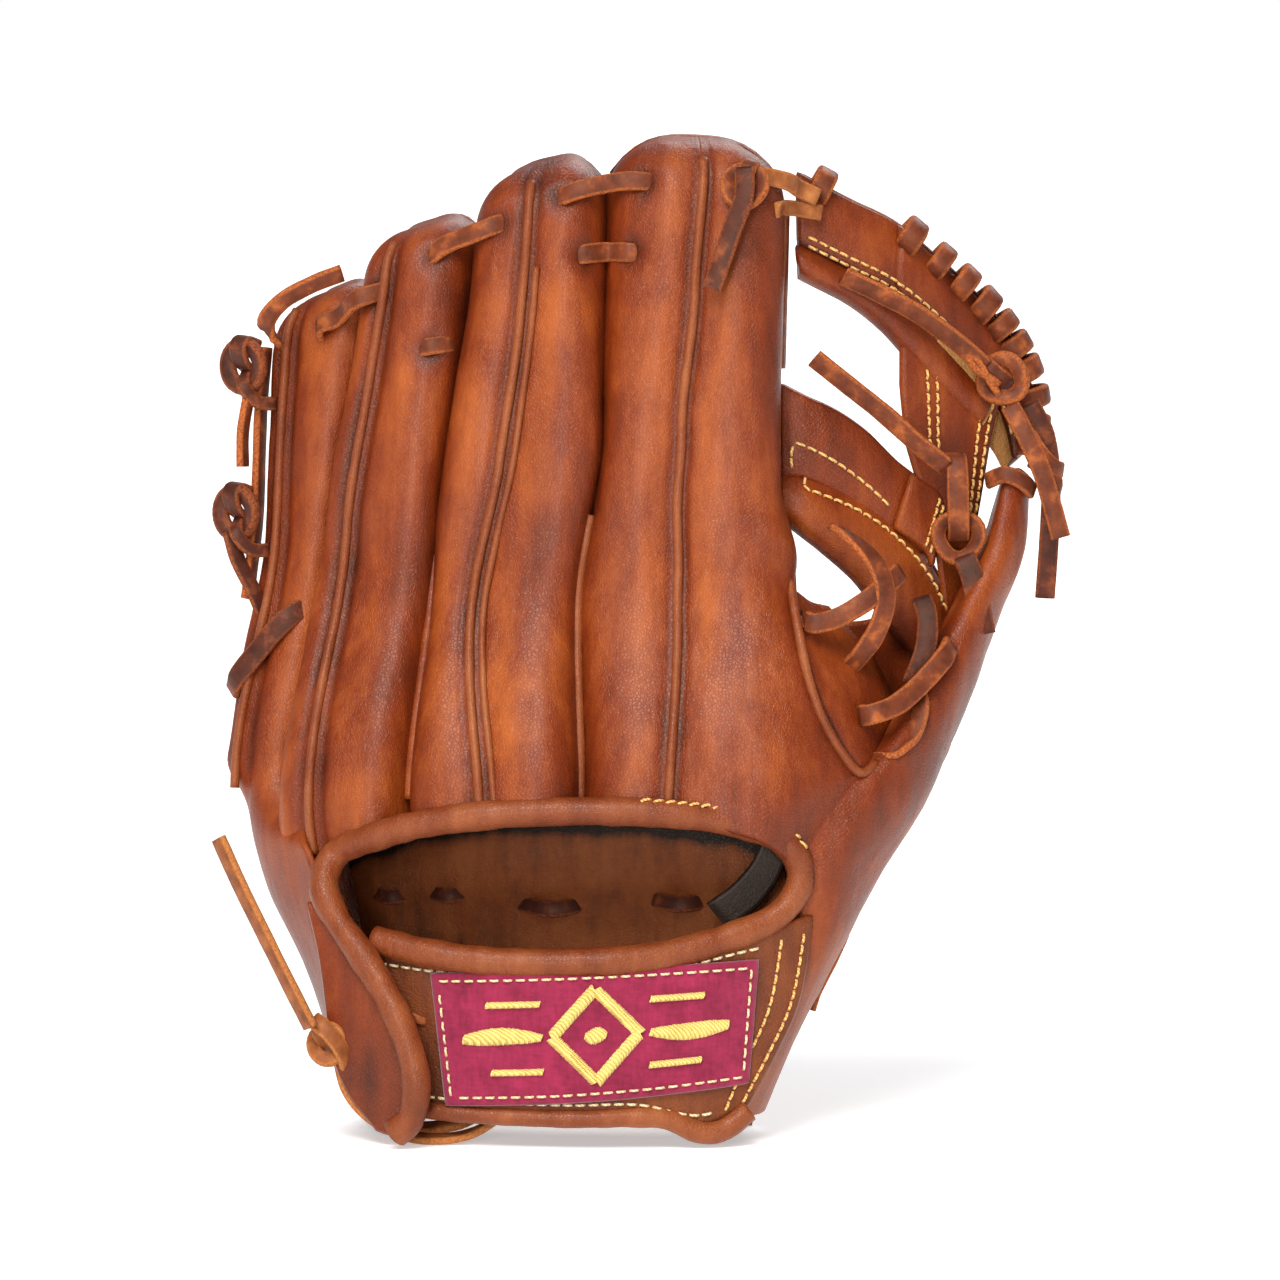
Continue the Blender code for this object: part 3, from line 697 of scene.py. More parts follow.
# The rolled edge of the hand opening: up the wrist tab as (x, z, height off the strap), then round the hand.
TAB_EDGE = (
    (-68, 4.4, 9.4), (-63.5, 9, 9.8), (-62, 19, 9.6), (-64.5, 30, 9.2), (-70, 42, 8.2), (-77, 53, 6.8),
    (-84.5, 63, 5), (-88.5, 72, 3.6),
)
OPENING_TOP = (
    (-85.5, -10, 80.5), (-76, -15, 85.5), (-60, -21, 90.5), (-34, -26.5, 94), (0, -29, 94.5),
    (26, -27, 91.5), (41, -23.5, 85.5), (45.6, -21.5, 77.5), (43.5, -22, 69.5), (34, -25, 62),
    (8, -32.0, 54.6), (-14, -34.5, 52.8), (-39, -31.5, 52.6), (-58, -27, 54.4), (-74, -20, 57.6),
)
ROOT_LINE = tuple((x, z) for x, _, z in OPENING_TOP[:7])


def cap_point(name, s, u, lift=0.0):
    """A point on the round end of a finger; u runs from 0, where it starts, to 1 at the very tip."""
    top = tip_height(name, s)
    point = finger_point(name, s, top - TIP_ROUND + TIP_ROUND * min(u, 0.98), lift)
    if u <= 0.98:
        return point
    last = finger_point(name, s, top)
    foot = Vector((last.x, palm_y(last.x, top) - 2 * FIT, top + 0.6))
    return point.lerp(foot, (u - 0.98) / 0.02)


def relief(name, s, z):
    """How far the leather stands off the plain dome, and its tone there: worn crests, painted shade in
    grooves and valleys.
    """
    away = (s - value_at(WELTS[name], z)) * half_width(name, z)
    swell = SWELL * (1 - math.exp(-((away / SWELL_REACH) ** 2)))
    groove = math.exp(-(((abs(away) - GROOVE_AT) / GROOVE_WIDTH) ** 2))
    outside = (name == "pinky" and s < 0) or (name == "index" and s > 0)
    # groove and valley also darken the tone: painted shade beside the welts and between the fingers.
    valley = 0.0 if outside else ease((abs(s) - 0.86) / 0.14) * (0.35 + 0.65 * ease((z - 150) / 50))
    crest = math.exp(-(((abs(away) - CREST_AT) / CREST_WIDTH) ** 2)) * (1 - valley)
    return swell - 0.8 * groove, 0.45 * crest - 0.5 * groove - 0.8 * valley


# Lacing holes near the fingertips, as (finger, s, z): the leather is drawn in round them, with painted shade
# in the pucker.
HOLES = (
    ("pinky", 0.45, 228), ("ring", -0.5, 238), ("ring", 0.5, 249), ("ring", 0.6, 222),
    ("middle", -0.5, 258), ("middle", 0.45, 266), ("middle", 0.72, 249),
    ("index", -0.6, 270), ("index", -0.7, 250), ("index", 0.5, 268),
)
HOLE_POINTS = [finger_point(*hole) for hole in HOLES]
HOLE_DEPTH, HOLE_REACH = 1.9, 4.2
# How dark the painted shade in each pucker is, and how far it reaches.
HOLE_SHADE, HOLE_SHADE_REACH = 1.2, 4.5


def drawn_in(point):
    """Depth of the pucker round the nearest lacing hole, and the painted shade in it."""
    nearest = min((point - hole).length for hole in HOLE_POINTS)
    dip = HOLE_DEPTH * math.exp(-((nearest / HOLE_REACH) ** 2))
    return -dip, -HOLE_SHADE * math.exp(-((nearest / HOLE_SHADE_REACH) ** 2))


def skin_point(name, s, z, u=0.0):
    """(point, wear and painted shade) of a finger's leather with its relief; u is above 0 on its round end.
    """
    lift, wear_and_shade = relief(name, s, z)
    point = cap_point(name, s, u) if u > 0 else finger_point(name, s, z)
    dip, dark = drawn_in(point)
    fade = 1 - 0.7 * u**3
    lift = lift * fade + dip
    return (cap_point(name, s, u, lift) if u > 0 else finger_point(name, s, z, lift)), wear_and_shade * fade + dark


def root_z(name, s):
    """Where a finger's leather runs in under the rolled edge."""
    roots = FINGERS[name][1]
    low = roots[0] + (roots[1] - roots[0]) * (s + 1) / 2
    return value_at(ROOT_LINE, finger_point(name, s, low).x)


def finger_rows(name, sides_at, rows, tip_rows, low=root_z):
    """The net of a finger's back from its root over its tip, and its wear and painted shade.

    sides_at gives a row's places across the finger from how far up it is, 0 to 1.
    """
    lines = []
    for j in range(rows + tip_rows + 1):
        line = []
        for s in sides_at(min(j / rows, 1)):
            start, bend = low(name, s), tip_height(name, s) - TIP_ROUND
            z, u = start + (bend - start) * j / rows, 0.0
            if j > rows:
                u = math.sin(math.pi / 2 * (j - rows) / tip_rows)
                z = bend + TIP_ROUND * u
            line.append(skin_point(name, s, z, u))
        lines.append(line)
    return net_wear_and_shade(lines)


def net_wear_and_shade(lines):
    """Lines of (point, wear and painted shade) as a net of points and a net of wear and painted shade."""
    points = [[point for point, _ in line] for line in lines]
    wear_and_shade = [[shaded_and_worn for _, shaded_and_worn in line] for line in lines]
    return np.array(points), np.array(wear_and_shade)


def dome_sides(count):
    """Places from -1 to 1, closer together towards the walls."""
    return [-math.cos(math.pi * i / count) for i in range(count + 1)]


# The side of the hand below the little finger, from the palm round to the back, row by row from the heel.
HEEL_SIDE = (
    ((-72, 38, 7), (-79, 28, 8), (-83, 12, 10), (-75, -14, 13)),
    ((-78, 41, 24), (-84, 29, 25), (-88, 12, 26), (-79, -15, 28)),
    ((-84, 43, 46), (-91, 30, 46), (-95, 13, 47), (-84, -15, 49)),
    ((-90, 45, 68), (-101, 31, 68), (-105, 14, 68), (-89, -13, 69)),
    ((-91, 46.5, 88), (-105, 33, 88), (-110, 15, 87), (-95, -9, 84)),
    ((-91.5, 47, 106), (-106, 33, 106), (-112, 14, 105), (-99, -6, 100)),
)
HEEL_TOP = 106.0
HEEL_BLEND = 24.0


def make_pinky():
    """The little finger's leather runs down the side of the hand to the heel in one piece."""
    low_rows = 56
    sides = dome_sides(52)
    heel = surface(HEEL_SIDE, len(sides) - 1, low_rows)
    upper, upper_wear_and_shade = finger_rows("pinky", lambda _: sides, 80, 16, low=lambda name, s: HEEL_TOP)
    lines = []
    for row in heel[:low_rows]:
        line = []
        for s, spot in zip(sides, row):
            point = Vector(spot)
            share = ease((point.z - HEEL_TOP + HEEL_BLEND) / HEEL_BLEND)
            above, wear_and_shade = skin_point("pinky", s, max(point.z, 60))
            line.append((point.lerp(above, share), wear_and_shade * share))
        lines.append(line)
    lower, lower_wear_and_shade = net_wear_and_shade(lines)
    net, wear_and_shade = np.concatenate([lower, upper]), np.concatenate([lower_wear_and_shade, upper_wear_and_shade])
    sheet("pinky_leather", net, "hand", ("pinky_back", "heel_panel"), rough=FINGER_ROUGH, wear_and_shade=wear_and_shade)


def make_finger(name):
    """The ring or middle finger's leather, from wall to wall."""
    sides = dome_sides(60)
    net, wear_and_shade = finger_rows(name, lambda _: sides, 110, 18)
    sheet(f"{name}_leather", net, "hand", (f"{name}_back",), rough=FINGER_ROUGH, wear_and_shade=wear_and_shade)


# The seam where the index finger's back runs on over the thumb, and the piping above it.
SEAM = ((45, -22, 79), (56, -18.8, 96), (63, -13.6, 103.6))
PIPING = (
    (63, -13.6, 103.6), (57.5, -15.5, 110), (52, -15.8, 120), (48, -14.3, 132), (45.2, -9, 146),
    (43.5, -1, 157), (43, 9, 168),
)
# Over these heights the leather turns from the piping into the finger's own side.
PIPING_LOW, PIPING_HIGH = 146.0, 172.0
# s where the index finger's back starts to turn into the thumb.
INDEX_TURN = 0.44
INDEX_COLUMNS = 60
INDEX_ROOT, INDEX_TOP = 94.5, 263
# Heights of the ridges in the valleys, above their low ends.
VALLEY_HEIGHTS = (105, 120, 135, 150, 163, 176, 188)
# The thumb's back, row by row from the heel: below the seam, along it and above it.
THUMB_ROWS_UNDER = (
    ((30, -22, 8), (34, -14, 7.5), (36, -2, 7.5), (34, 11, 8), (29, 23, 9)),
    ((37.5, -21, 25), (42, -12, 25), (43.5, 0, 25), (42, 10, 25), (38.5, 20, 25)),
    ((45, -19, 42), (50, -11, 42), (52, -1, 42), (51.5, 9, 42), (49, 19, 42)),
    ((47, -19.5, 60), (54.5, -16.5, 60), (60, -8, 60), (60.5, 4, 59), (57, 18, 59)),
)
THUMB_ROWS_SEAM = (
    (SEAM[0], (57, -20, 79), (66.5, -9, 77), (69.5, 4, 75), (65, 17, 75.5)),
    (SEAM[1], (66, -16.5, 96), (75.5, -8, 94), (80, 7, 91), (74, 21, 91)),
    (SEAM[2], (72, -11, 107), (82, -1, 107), (87, 13, 105), (82, 26, 104)),
)
THUMB_ROWS_OVER = (
    ((74, 5, 122), (80, 0.5, 124), (90, 6, 125), (95, 20, 123), (90.5, 32.5, 121)),
    ((86.5, 22, 143), (90.5, 13.5, 145), (98, 16, 146), (103, 28, 144), (99.5, 38.5, 142)),
    ((97, 33, 163), (100.5, 24, 165), (106.5, 25, 165), (110.5, 35, 163), (107, 44, 162)),
    ((103.5, 41, 182), (105, 34, 186), (110, 35, 187), (113, 42, 184), (110, 48, 181)),
)
SEAM_ROWS = 14
# Heights at the index finger's welt of the rows that end on the seam, and of the first one on the piping.
SEAM_FOOT, SEAM_RISE = 94.3, 1.2
PIPING_FOOT = 95.5
# Columns of those rows that keep the finger's own wear and painted shade, and the row along the piping that
# lies level.
RELIEF_COLUMNS = 40
LEVEL_ROW = 26


def outer_sides(z):
    """Places from the index finger's welt to its outer wall, closer together towards the wall."""
    start = value_at(WELTS["index"], z)
    return [start + (1 - start) * math.sin(math.pi / 2 * i / INDEX_COLUMNS) for i in range(INDEX_COLUMNS + 1)]


def inner_sides(share):
    """Places from the index finger's inner wall to its welt, closer together towards the wall."""
    end = value_at(WELTS["index"], INDEX_ROOT + (INDEX_TOP - INDEX_ROOT) * share)
    return [-1 + (end + 1) * (1 - math.cos(math.pi / 2 * i / 30)) for i in range(31)]


def onto_thumb(s, z, right, share):
    """A point of the smooth curve from the index finger's back to the piping at right."""
    middle = finger_point("index", INDEX_TURN, z + (right.z - z) * 0.45 * share, SWELL)
    before = finger_point("index", INDEX_TURN - 0.05, z + (right.z - z) * 0.42 * share, SWELL)
    t = (s - INDEX_TURN) / (1 - INDEX_TURN)
    leave = (middle - before).normalized() * (right - middle).length * 0.9
    arrive = (right - middle) * 0.7 + Vector((0, 7, 0))
    return (
        middle * (2 * t**3 - 3 * t**2 + 1)
        + leave * (t**3 - 2 * t**2 + t)
        + right * (3 * t**2 - 2 * t**3)
        + arrive * (t**3 - t**2)
    )


def index_row(z, right, share):
    """A row from the index finger's welt to the piping at right; at share 0 it is the finger's own side."""
    sides = outer_sides(z)
    start = sides[0]
    row = []
    for s in sides:
        plain, wear_and_shade = skin_point("index", s, z)
        if share <= 0:
            row.append((plain, wear_and_shade))
        elif s <= INDEX_TURN:
            height = z + (right.z - z) * 0.45 * (s - start) / (INDEX_TURN - start)
            row.append(skin_point("index", s, z + (height - z) * share))
        else:
            broad = onto_thumb(s, z, right, share)
            # Painted shade darkens the leather as it nears the piping.
            edge = math.exp(-(((broad - right).length / 4) ** 2))
            row.append((plain.lerp(broad, share), wear_and_shade * (1 - share) + (0.2 - 0.7 * edge) * share))
    return row


def index_outer_net(seam):
    """The index finger's outer side: along the seam, along the piping, then up and over its tip."""
    lines = []
    for j, spot in enumerate(seam[:-1]):
        row = index_row(SEAM_FOOT + SEAM_RISE * j / (len(seam) - 1), Vector(spot), 1.0)
        lines.append([(point, wear_and_shade if i < RELIEF_COLUMNS else 0.15) for i, (point, wear_and_shade) in enumerate(row)])
    for j, right in enumerate(smooth_path(PIPING, 60)):
        z = PIPING_FOOT + (right.z - PIPING_FOOT) * ease(j / LEVEL_ROW) if j < LEVEL_ROW else right.z
        lines.append(index_row(z, right, 1 - ease((z - PIPING_LOW) / (PIPING_HIGH - PIPING_LOW))))
    top = lines[-1][0][0].z
    net, wear_and_shade = net_wear_and_shade(lines)
    upper, upper_wear_and_shade = finger_rows(
        "index", lambda share: outer_sides(top + (INDEX_TOP - top) * share), 56, 18, low=lambda name, s: top
    )
    return np.concatenate([net, upper[1:]]), np.concatenate([wear_and_shade, upper_wear_and_shade[1:]])


def thumb_back_net(seam):
    """The thumb's back, whose left side runs along the seam."""
    wide = 56
    rows = THUMB_ROWS_UNDER + THUMB_ROWS_SEAM + THUMB_ROWS_OVER
    net = surface(rows, wide, SEAM_ROWS * (len(rows) - 1))
    first = SEAM_ROWS * len(THUMB_ROWS_UNDER)
    for j, spot in enumerate(seam):
        shift = spot - net[first + j, 0]
        for i in range(wide + 1):
            net[first + j, i] += shift * (1 - i / wide) ** 2
    return net


def make_index_and_thumb():
    """One hide covers the index finger's outer side and the whole back of the thumb."""
    seam = [np.array(p) for p in smooth_path(SEAM, 2 * SEAM_ROWS)]
    index_net, index_wear_and_shade = index_outer_net(seam)
    thumb_net = thumb_back_net(seam)
    thumb_wear_and_shade = np.full(thumb_net.shape[:2], 0.1)
    # Painted shade along the thumb back's last columns, where it turns under towards the palm.
    thumb_wear_and_shade[:, -4:] = -0.3
    faces = grid_faces(*index_net.shape[:2])
    faces += [tuple(index_wear_and_shade.size + k for k in f) for f in grid_faces(*thumb_net.shape[:2])]
    points = np.concatenate([index_net.reshape(-1, 3), thumb_net.reshape(-1, 3)])
    points, faces, wear_and_shade = weld(points, faces, np.concatenate([index_wear_and_shade.ravel(), thumb_wear_and_shade.ravel()]))
    points = relax(points, faces, np.array(seam), 16.0, 26)
    points = crumple(points, point_normals(points, faces), 0.55)
    points, faces, wear_and_shade = thicken(points, faces, LEATHER, wear_and_shade)
    made = make_object("index_thumb_leather", points, faces, "leather", {"wear_and_shade": wear_and_shade})
    attach(made, "both", ("thumb_back", "thumb_heel_panel"))
    left, left_wear_and_shade = finger_rows("index", inner_sides, 100, 18)
    sheet("index_leather", left, "hand", ("index_back",), rough=FINGER_ROUGH, wear_and_shade=left_wear_and_shade)


def weld(points, faces, values):
    """Points that lie on each other made one."""
    _, first, index = np.unique(np.round(points, 2), axis=0, return_index=True, return_inverse=True)
    index = index.reshape(-1)
    kept = []
    for face in faces:
        spots = tuple(int(index[k]) for k in face)
        if len(set(spots)) == 4:
            kept.append(spots)
    return points[first], kept, values[first]


def relax(points, faces, line, reach, rounds):
    """Smooths a mesh within reach of a line, leaving its rim in place."""
    near = np.min(np.linalg.norm(points[:, None, :] - line[None, ::3, :], axis=2), axis=1)
    share = np.clip(1 - near / reach, 0, 1)
    ends = np.array([pair for f in faces for pair in zip(f, (*f[1:], f[0]))])
    keys, counts = np.unique(np.sort(ends, axis=1), axis=0, return_counts=True)
    share[np.unique(keys[counts == 1])] = 0
    for _ in range(rounds):
        total, number = np.zeros_like(points), np.zeros(len(points))
        for a, b in ((0, 1), (1, 0)):
            np.add.at(total, keys[:, a], points[keys[:, b]])
            np.add.at(number, keys[:, a], 1)
        points = points + (total / number[:, None] - points) * share[:, None] * 0.6
    return points


def make_welts():
    """Piping sewn into the back of each finger, and the ridges in the valleys between them."""
    for name, table in WELTS.items():
        path = []
        low = 97 if name == "pinky" else root_z(name, table[0][1])
        high = tip_height(name, table[-1][1]) - 5.5
        for k in range(40):
            z = low + (high - low) * k / 39
            s = value_at(table, z)
            u = max(0.0, (z - (tip_height(name, s) - TIP_ROUND)) / TIP_ROUND)
            path.append(cap_point(name, s, u, 0.5) if u > 0 else finger_point(name, s, z, 0.5))
        rod(f"{name}_piping", path, WELT_RADIUS, "hand", (f"{name}_welt",))
    second = [
        finger_point("middle", value_at(WELTS["middle"], z) + 0.17, z, 1.0)
        for z in (92, 110, 130, 150, 170, 190, 210, 230, 246)
    ]
    rod("middle_second_piping", second, 1.0, "hand")
    # Between which fingers, its heights, how far it sinks towards the palm, its radius and its material.
    for left, right, heights, sink, radius, kind in (
        ("middle", "index", (97, 110, 125, 140, 155, 168, 176), 0.0, 1.5, "binding"),
        ("pinky", "ring", (90, *VALLEY_HEIGHTS), 3.5, 1.6, "leather"),
        ("ring", "middle", (96, *VALLEY_HEIGHTS), 3.5, 1.6, "leather"),
    ):
        fold = []
        for z in heights:
            between = finger_point(left, 0.93, z).lerp(finger_point(right, -0.93, z), 0.5)
            out = sink * ease((z - 140) / 48) - (0.4 if sink else 0.6)
            fold.append(between + Vector((0, out, 0)))
        rod(f"{right}_valley_piping", fold, radius, "hand", kind=kind)
    edge = [Vector(p) + Vector((-0.5, -1.1, 0.6)) for p in ((68, -9, 106), *PIPING[:-1])]
    rod("gusset_piping", edge, WELT_RADIUS, "both", ("gusset_welt",))


# ---------------------------------------------------------------- wrist and hand opening


def make_opening():
    """The rolled edge of the tab and the hand opening, and the stitches above it."""
    tab = [(x, strap_y(x) - back, z) for x, z, back in TAB_EDGE]
    rod("opening_roll", [*tab, *OPENING_TOP], ROLL_RADIUS, "both", ("opening_binding",), rough=0.12)
    top = smooth_path(OPENING_TOP[4:8], 60)
    line = []
    for a, b in zip(top, top[1:55]):
        out = Vector((a.z - b.z, 0, b.x - a.x)).normalized()
        out = out if out.z > 0 or a.x > 42 else -out
        spot = a + (out * 0.86 + Vector((0, -0.5, 0))) * ROLL_RADIUS
        line.append((spot, (out + Vector((0, -1, 0))).normalized()))
    stitching("opening_stitching", [line], "both", pitch=3.4, length=2.7, slant=0.5)


# The wrist strap as rows of (x, z) from its lower edge up, and the line of its rolled lower edge.
STRAP = (
    ((-76, 14), (-50, 11.5), (-20, 11), (0, 11), (17, 7), (31, 12)),
    ((-76, 25), (-50, 23), (-20, 22), (0, 22), (20, 21), (39, 27)),
    ((-76, 39), (-50, 37), (-20, 36), (3, 36), (27, 38), (45.5, 42)),
    ((-76, 53.5), (-50, 51), (-20, 50.5), (5, 52.3), (30, 59.4), (49, 64)),
)


STRAP_EDGE = ((-72, 11.6), (-50, 9.4), (-20, 8.6), (-2, 9), (8, 8.5), (17, 4.6), (24, 5), (31, 10))
# The label's top and lower edges, each from left to right.
LABEL_TOP = ((-58, 48.6), (33.7, 52.4))
LABEL_LOW = ((-53.8, 12.3), (31, 18.5))


def strap_net():
    """The wrist strap's net, bowed round the wrist and set back under the thumb's leather."""
    flat = surface([[(x, 0, z) for x, z in row] for row in STRAP], 70, 28)
    for row in flat:
        for point in row:
            point[1] = strap_y(point[0]) - 0.4 - 1.4 * ease((point[0] - 30) / 14)
    return flat


def label_net(lift):
    """The label's net from its top edge to its lower one, lift mm off the strap."""
    (ax, az), (bx, bz) = LABEL_TOP
    (cx, cz), (dx, dz) = LABEL_LOW
    grid = []
    for j in range(25):
        t = 1 - j / 24
        row = []
        for i in range(61):
            u = i / 60
            x = (ax + (bx - ax) * u) * (1 - t) + (cx + (dx - cx) * u) * t
            z = (az + (bz - az) * u) * (1 - t) + (cz + (dz - cz) * u) * t - 1.1 * t * math.sin(math.pi * u)
            row.append((x, strap_y(x) - lift - 0.5 * noise.noise(Vector((x / 16, z / 16, 3))), z))
        grid.append(row)
    return np.array(grid)


def make_strap():
    """The wrist strap with its stitching, its rolled lower edge and two ends of lace."""
    strap = strap_net()
    sheet("strap_leather", strap, "both", ("wrist_strap",), "strap")
    for k, inset in enumerate((0.975, 0.905)):
        line = on_net(strap, ((inset - 0.01, 0.03), (inset, 0.35), (inset, 0.65), (inset + 0.005, 0.97)), 90)
        stitching(f"strap_end_stitching_{k + 1}", [line], "both", pitch=3.2, length=2.4)
    top = on_net(strap, ((0.02, 0.95), (0.5, 0.95), (0.86, 0.93)), 120)
    low = on_net(strap, ((0.1, 0.055), (0.5, 0.05), (0.86, 0.06)), 120)
    stitching("strap_edge_stitching", [top, low], "hand", "pale_thread", pitch=3.6, length=2.5)
    edge = [(x, strap_y(x) + 0.2, z) for x, z in STRAP_EDGE]
    rod("strap_roll", edge, 2.5, "hand", ("strap_binding",), taper=lambda t: 0.3 * ease((t - 0.5) / 0.4))
    knobs = []
    for spots in (((0.115, 0.62), (0.13, 0.62)), ((0.2, 0.2), (0.21, 0.2))):
        point, normal = on_net(strap, spots, 1)[0]
        path = []
        for k in range(5):
            rise = 0.4 + 0.7 * math.sin(math.pi * k / 4)
            path.append(point + normal * rise + Vector((k - 2, 0, -0.4 * (k - 2))))
        knobs.append(sweep(path, (0, 0, 1), ribbon_profile(2.2, 1.2)))
    lace("strap_lace_dots", knobs, "hand")
    make_label()


def make_label():
    """The felt label with its border stitching and its emblem."""
    net = label_net(2.5)
    sheet("label_felt_patch", net, "hand", ("label_patch",), "label", thick=1.5, rough=0.18)
    border = ((0.02, 0.05), (0.02, 0.95), (0.98, 0.95), (0.98, 0.05), (0.02, 0.05))
    sides = [on_net(net, (a, b), 80) for a, b in zip(border, border[1:])]
    thread_size = {"pitch": 3.7, "length": 2.4, "radius": 0.36}
    stitching("label_border_stitching", sides, "hand", "pale_thread", SLOTS["label"], **thread_size)
    make_embroidery(net)


def satin(net, path, width, step=0.55):
    """Close parallel threads laid across a band over a net; width gives the band's width along it."""
    parts = []
    line = on_net(net, path, 300)
    way = distances([point for point, _ in line])
    last = len(line) - 1
    for k in range(int(way[-1] / step)):
        distance = (k + 0.5) * step
        i = min(int(np.searchsorted(way, distance)), last)
        point, normal = line[i]
        along = (line[min(i + 2, last)][0] - line[max(i - 2, 0)][0]).normalized()
        across = normal.cross(along)
        wide = width(distance / way[-1]) * random.uniform(0.95, 1.05)
        slope = along * 0.35 * wide
        spots = [
            point + across * wide * t + slope * t + normal * (1.25 * (1 - (2 * t) ** 4) - 0.3)
            for t in (-0.5, -0.42, -0.2, 0, 0.2, 0.42, 0.5)
        ]
        parts.append(sweep(spots, along, round_profile(step * 0.62, 5)))
    return parts


def diamond_width(_):
    return 3.1


def bar_width(t):
    return 1.2 + 3.4 * math.sin(math.pi * min(t * 0.9 + 0.08, 1)) ** 0.8


def line_width(_):
    return 1.5


def dot_width(t):
    return 4.6 * math.sin(math.pi * (0.08 + 0.84 * t))


def make_embroidery(net):
    """A plain emblem in gold satin stitch: an open diamond and dot between tapering bars and lines."""
    diamond = ((0.36, 0.5), (0.5, 0.86), (0.64, 0.5), (0.5, 0.14), (0.36, 0.5))
    bands = [(side, diamond_width) for side in zip(diamond, diamond[1:])]
    bands.append((((0.08, 0.5), (0.2, 0.52), (0.33, 0.5)), bar_width))
    bands.append((((0.92, 0.5), (0.8, 0.48), (0.67, 0.5)), bar_width))
    for height in (0.24, 0.76):
        bands.append((((0.16, height), (0.33, height)), line_width))
        bands.append((((0.67, height), (0.84, height)), line_width))
    bands.append((((0.465, 0.5), (0.535, 0.5)), dot_width))
    points, faces, _ = merged([part for path, width in bands for part in satin(net, path, width)])
    attach(make_object("label_embroidery", points, faces, "gold"), "hand")


# The wrist tab as rows of (x, z) from its foot up, and how far its outer edge stands off the strap.
TAB_LIFT = 6.2
TAB = (
    ((-73.5, 5), (-71, 4), (-68, 4)),
    ((-81, 14), (-73, 12), (-63.5, 10)),
    ((-86, 25), (-76, 24), (-62, 22)),
    ((-88, 39), (-79, 38), (-67, 35.5)),
    ((-90, 53), (-84, 52), (-76, 50)),
    ((-93, 67), (-90, 66), (-86, 64)),
)


def make_tab():
    """The wrist tab that the rolled edge is sewn to."""
    rows = [[(x, strap_y(x) - TAB_LIFT + 0.3 * i, z) for i, (x, z) in enumerate(row)] for row in TAB]
    sheet("tab_leather", surface(rows, 22, 44), "hand", ("wrist_tab",), rough=0.35)


# mm from the palm's own curve to the lining and padding.
INSIDE = 6.1


def layer_net(x_range, z_range, back, across, along, bulge=0.0):
    """A layer behind the palm's own curve, kept inside the hand's outline."""
    grid = []
    for j in range(along + 1):
        z = z_range[0] + (z_range[1] - z_range[0]) * j / along
        left, right = max(x_range[0], edge_x(0, z) + 6), min(x_range[1], edge_x(4, z) - 5)
        row = []
        for i in range(across + 1):
            x = left + (right - left) * i / across
            crown = bulge * math.sin(math.pi * i / across) ** 0.5 * math.sin(math.pi * j / along) ** 0.5
            row.append((x, palm_y(x, z) - back - crown, z))
        grid.append(row)
    return np.array(grid)


def make_inside():
    """What shows through the hand opening: the lining, its lacing and the padding behind it."""
    for name, low, high in (("palm_pad", 44, 86), ("heel_pad", 7, 42)):
        net = layer_net((-80, 60), (low, high), INSIDE - 0.8, 36, 16, 0.9)
        piece = sheet(f"{name}_felt", net, "hand", (name,), "felt", thick=4.2, rough=0.25)
    net = layer_net((-84, 62), (4, 91), INSIDE + 3.0, 70, 44)
    # Painted shadow: the lining darkens to near black towards the rolled edge over the opening.
    shade = []
    for row in net:
        shade.append([0.1 - 2.6 * ease((p[2] - value_at(ROOT_LINE, p[0]) + 12) / 8) for p in row])
        for point in row:
            step = 1.6 * ease((point[2] - 66 - 0.05 * point[0]) / 4)
            point[1] -= step - 1.2 * noise.noise(Vector(point) / 22)
    sheet("palm_lining", net, "hand", ("palm_liner",), "liner", thick=1.3, rough=0.8, wear_and_shade=shade)
    parts = []
    for x, long, z in ((-71, 9, 66), (-54.5, 10, 67), (-25, 17, 64), (12, 14, 66)):
        route = []
        for t in (-0.5, -0.25, 0, 0.25, 0.5):
            y = palm_y(x + long * t, z) - INSIDE - 1.4 - 4.0 * math.sin(math.pi * (t + 0.5))
            route.append((x + long * t, y, z - 1.2 * math.cos(math.pi * t)))
        parts.append(lace_part(route, (0, 0.3, 1), width=4.6))
    lace("heel_lacing", parts, "hand", ("heel_lace",), "dark_lace")
    patch = [
        [(x + k * 5.5, palm_y(x, z) - 17 - 0.2 * (34 - x), z - k * 6.5) for k in (0, 0.5, 1)]
        for x, z in ((20, 66), (27, 71), (33, 78), (36, 85))
    ]
    sheet("inner_tab_leather", surface(patch, 10, 10), "hand", kind="tab", thick=1.4)
    for name in FINGERS:
        make_finger_liner(name)


def make_finger_liner(name):
    """The lining of a finger, inside its leather."""
    sides = dome_sides(20)
    grid = []
    for j in range(19):
        row = []
        for s in sides:
            low = 110 if name == "pinky" else root_z(name, s) + 2
            high = tip_height(name, s) - 38
            row.append(finger_point(name, s, low + (high - low) * j / 18, inset=LEATHER + 2.4))
        grid.append(row)
    sheet(f"{name}_lining", grid, "hand", (f"{name}_liner",), "liner", thick=1.2, rough=0.2)


# ---------------------------------------------------------------- palm

PALM_COLUMNS = 14  # for each finger
PALM_FOOT = 0.05
PALM_SLIT = 178.0  # the height where the fingers part


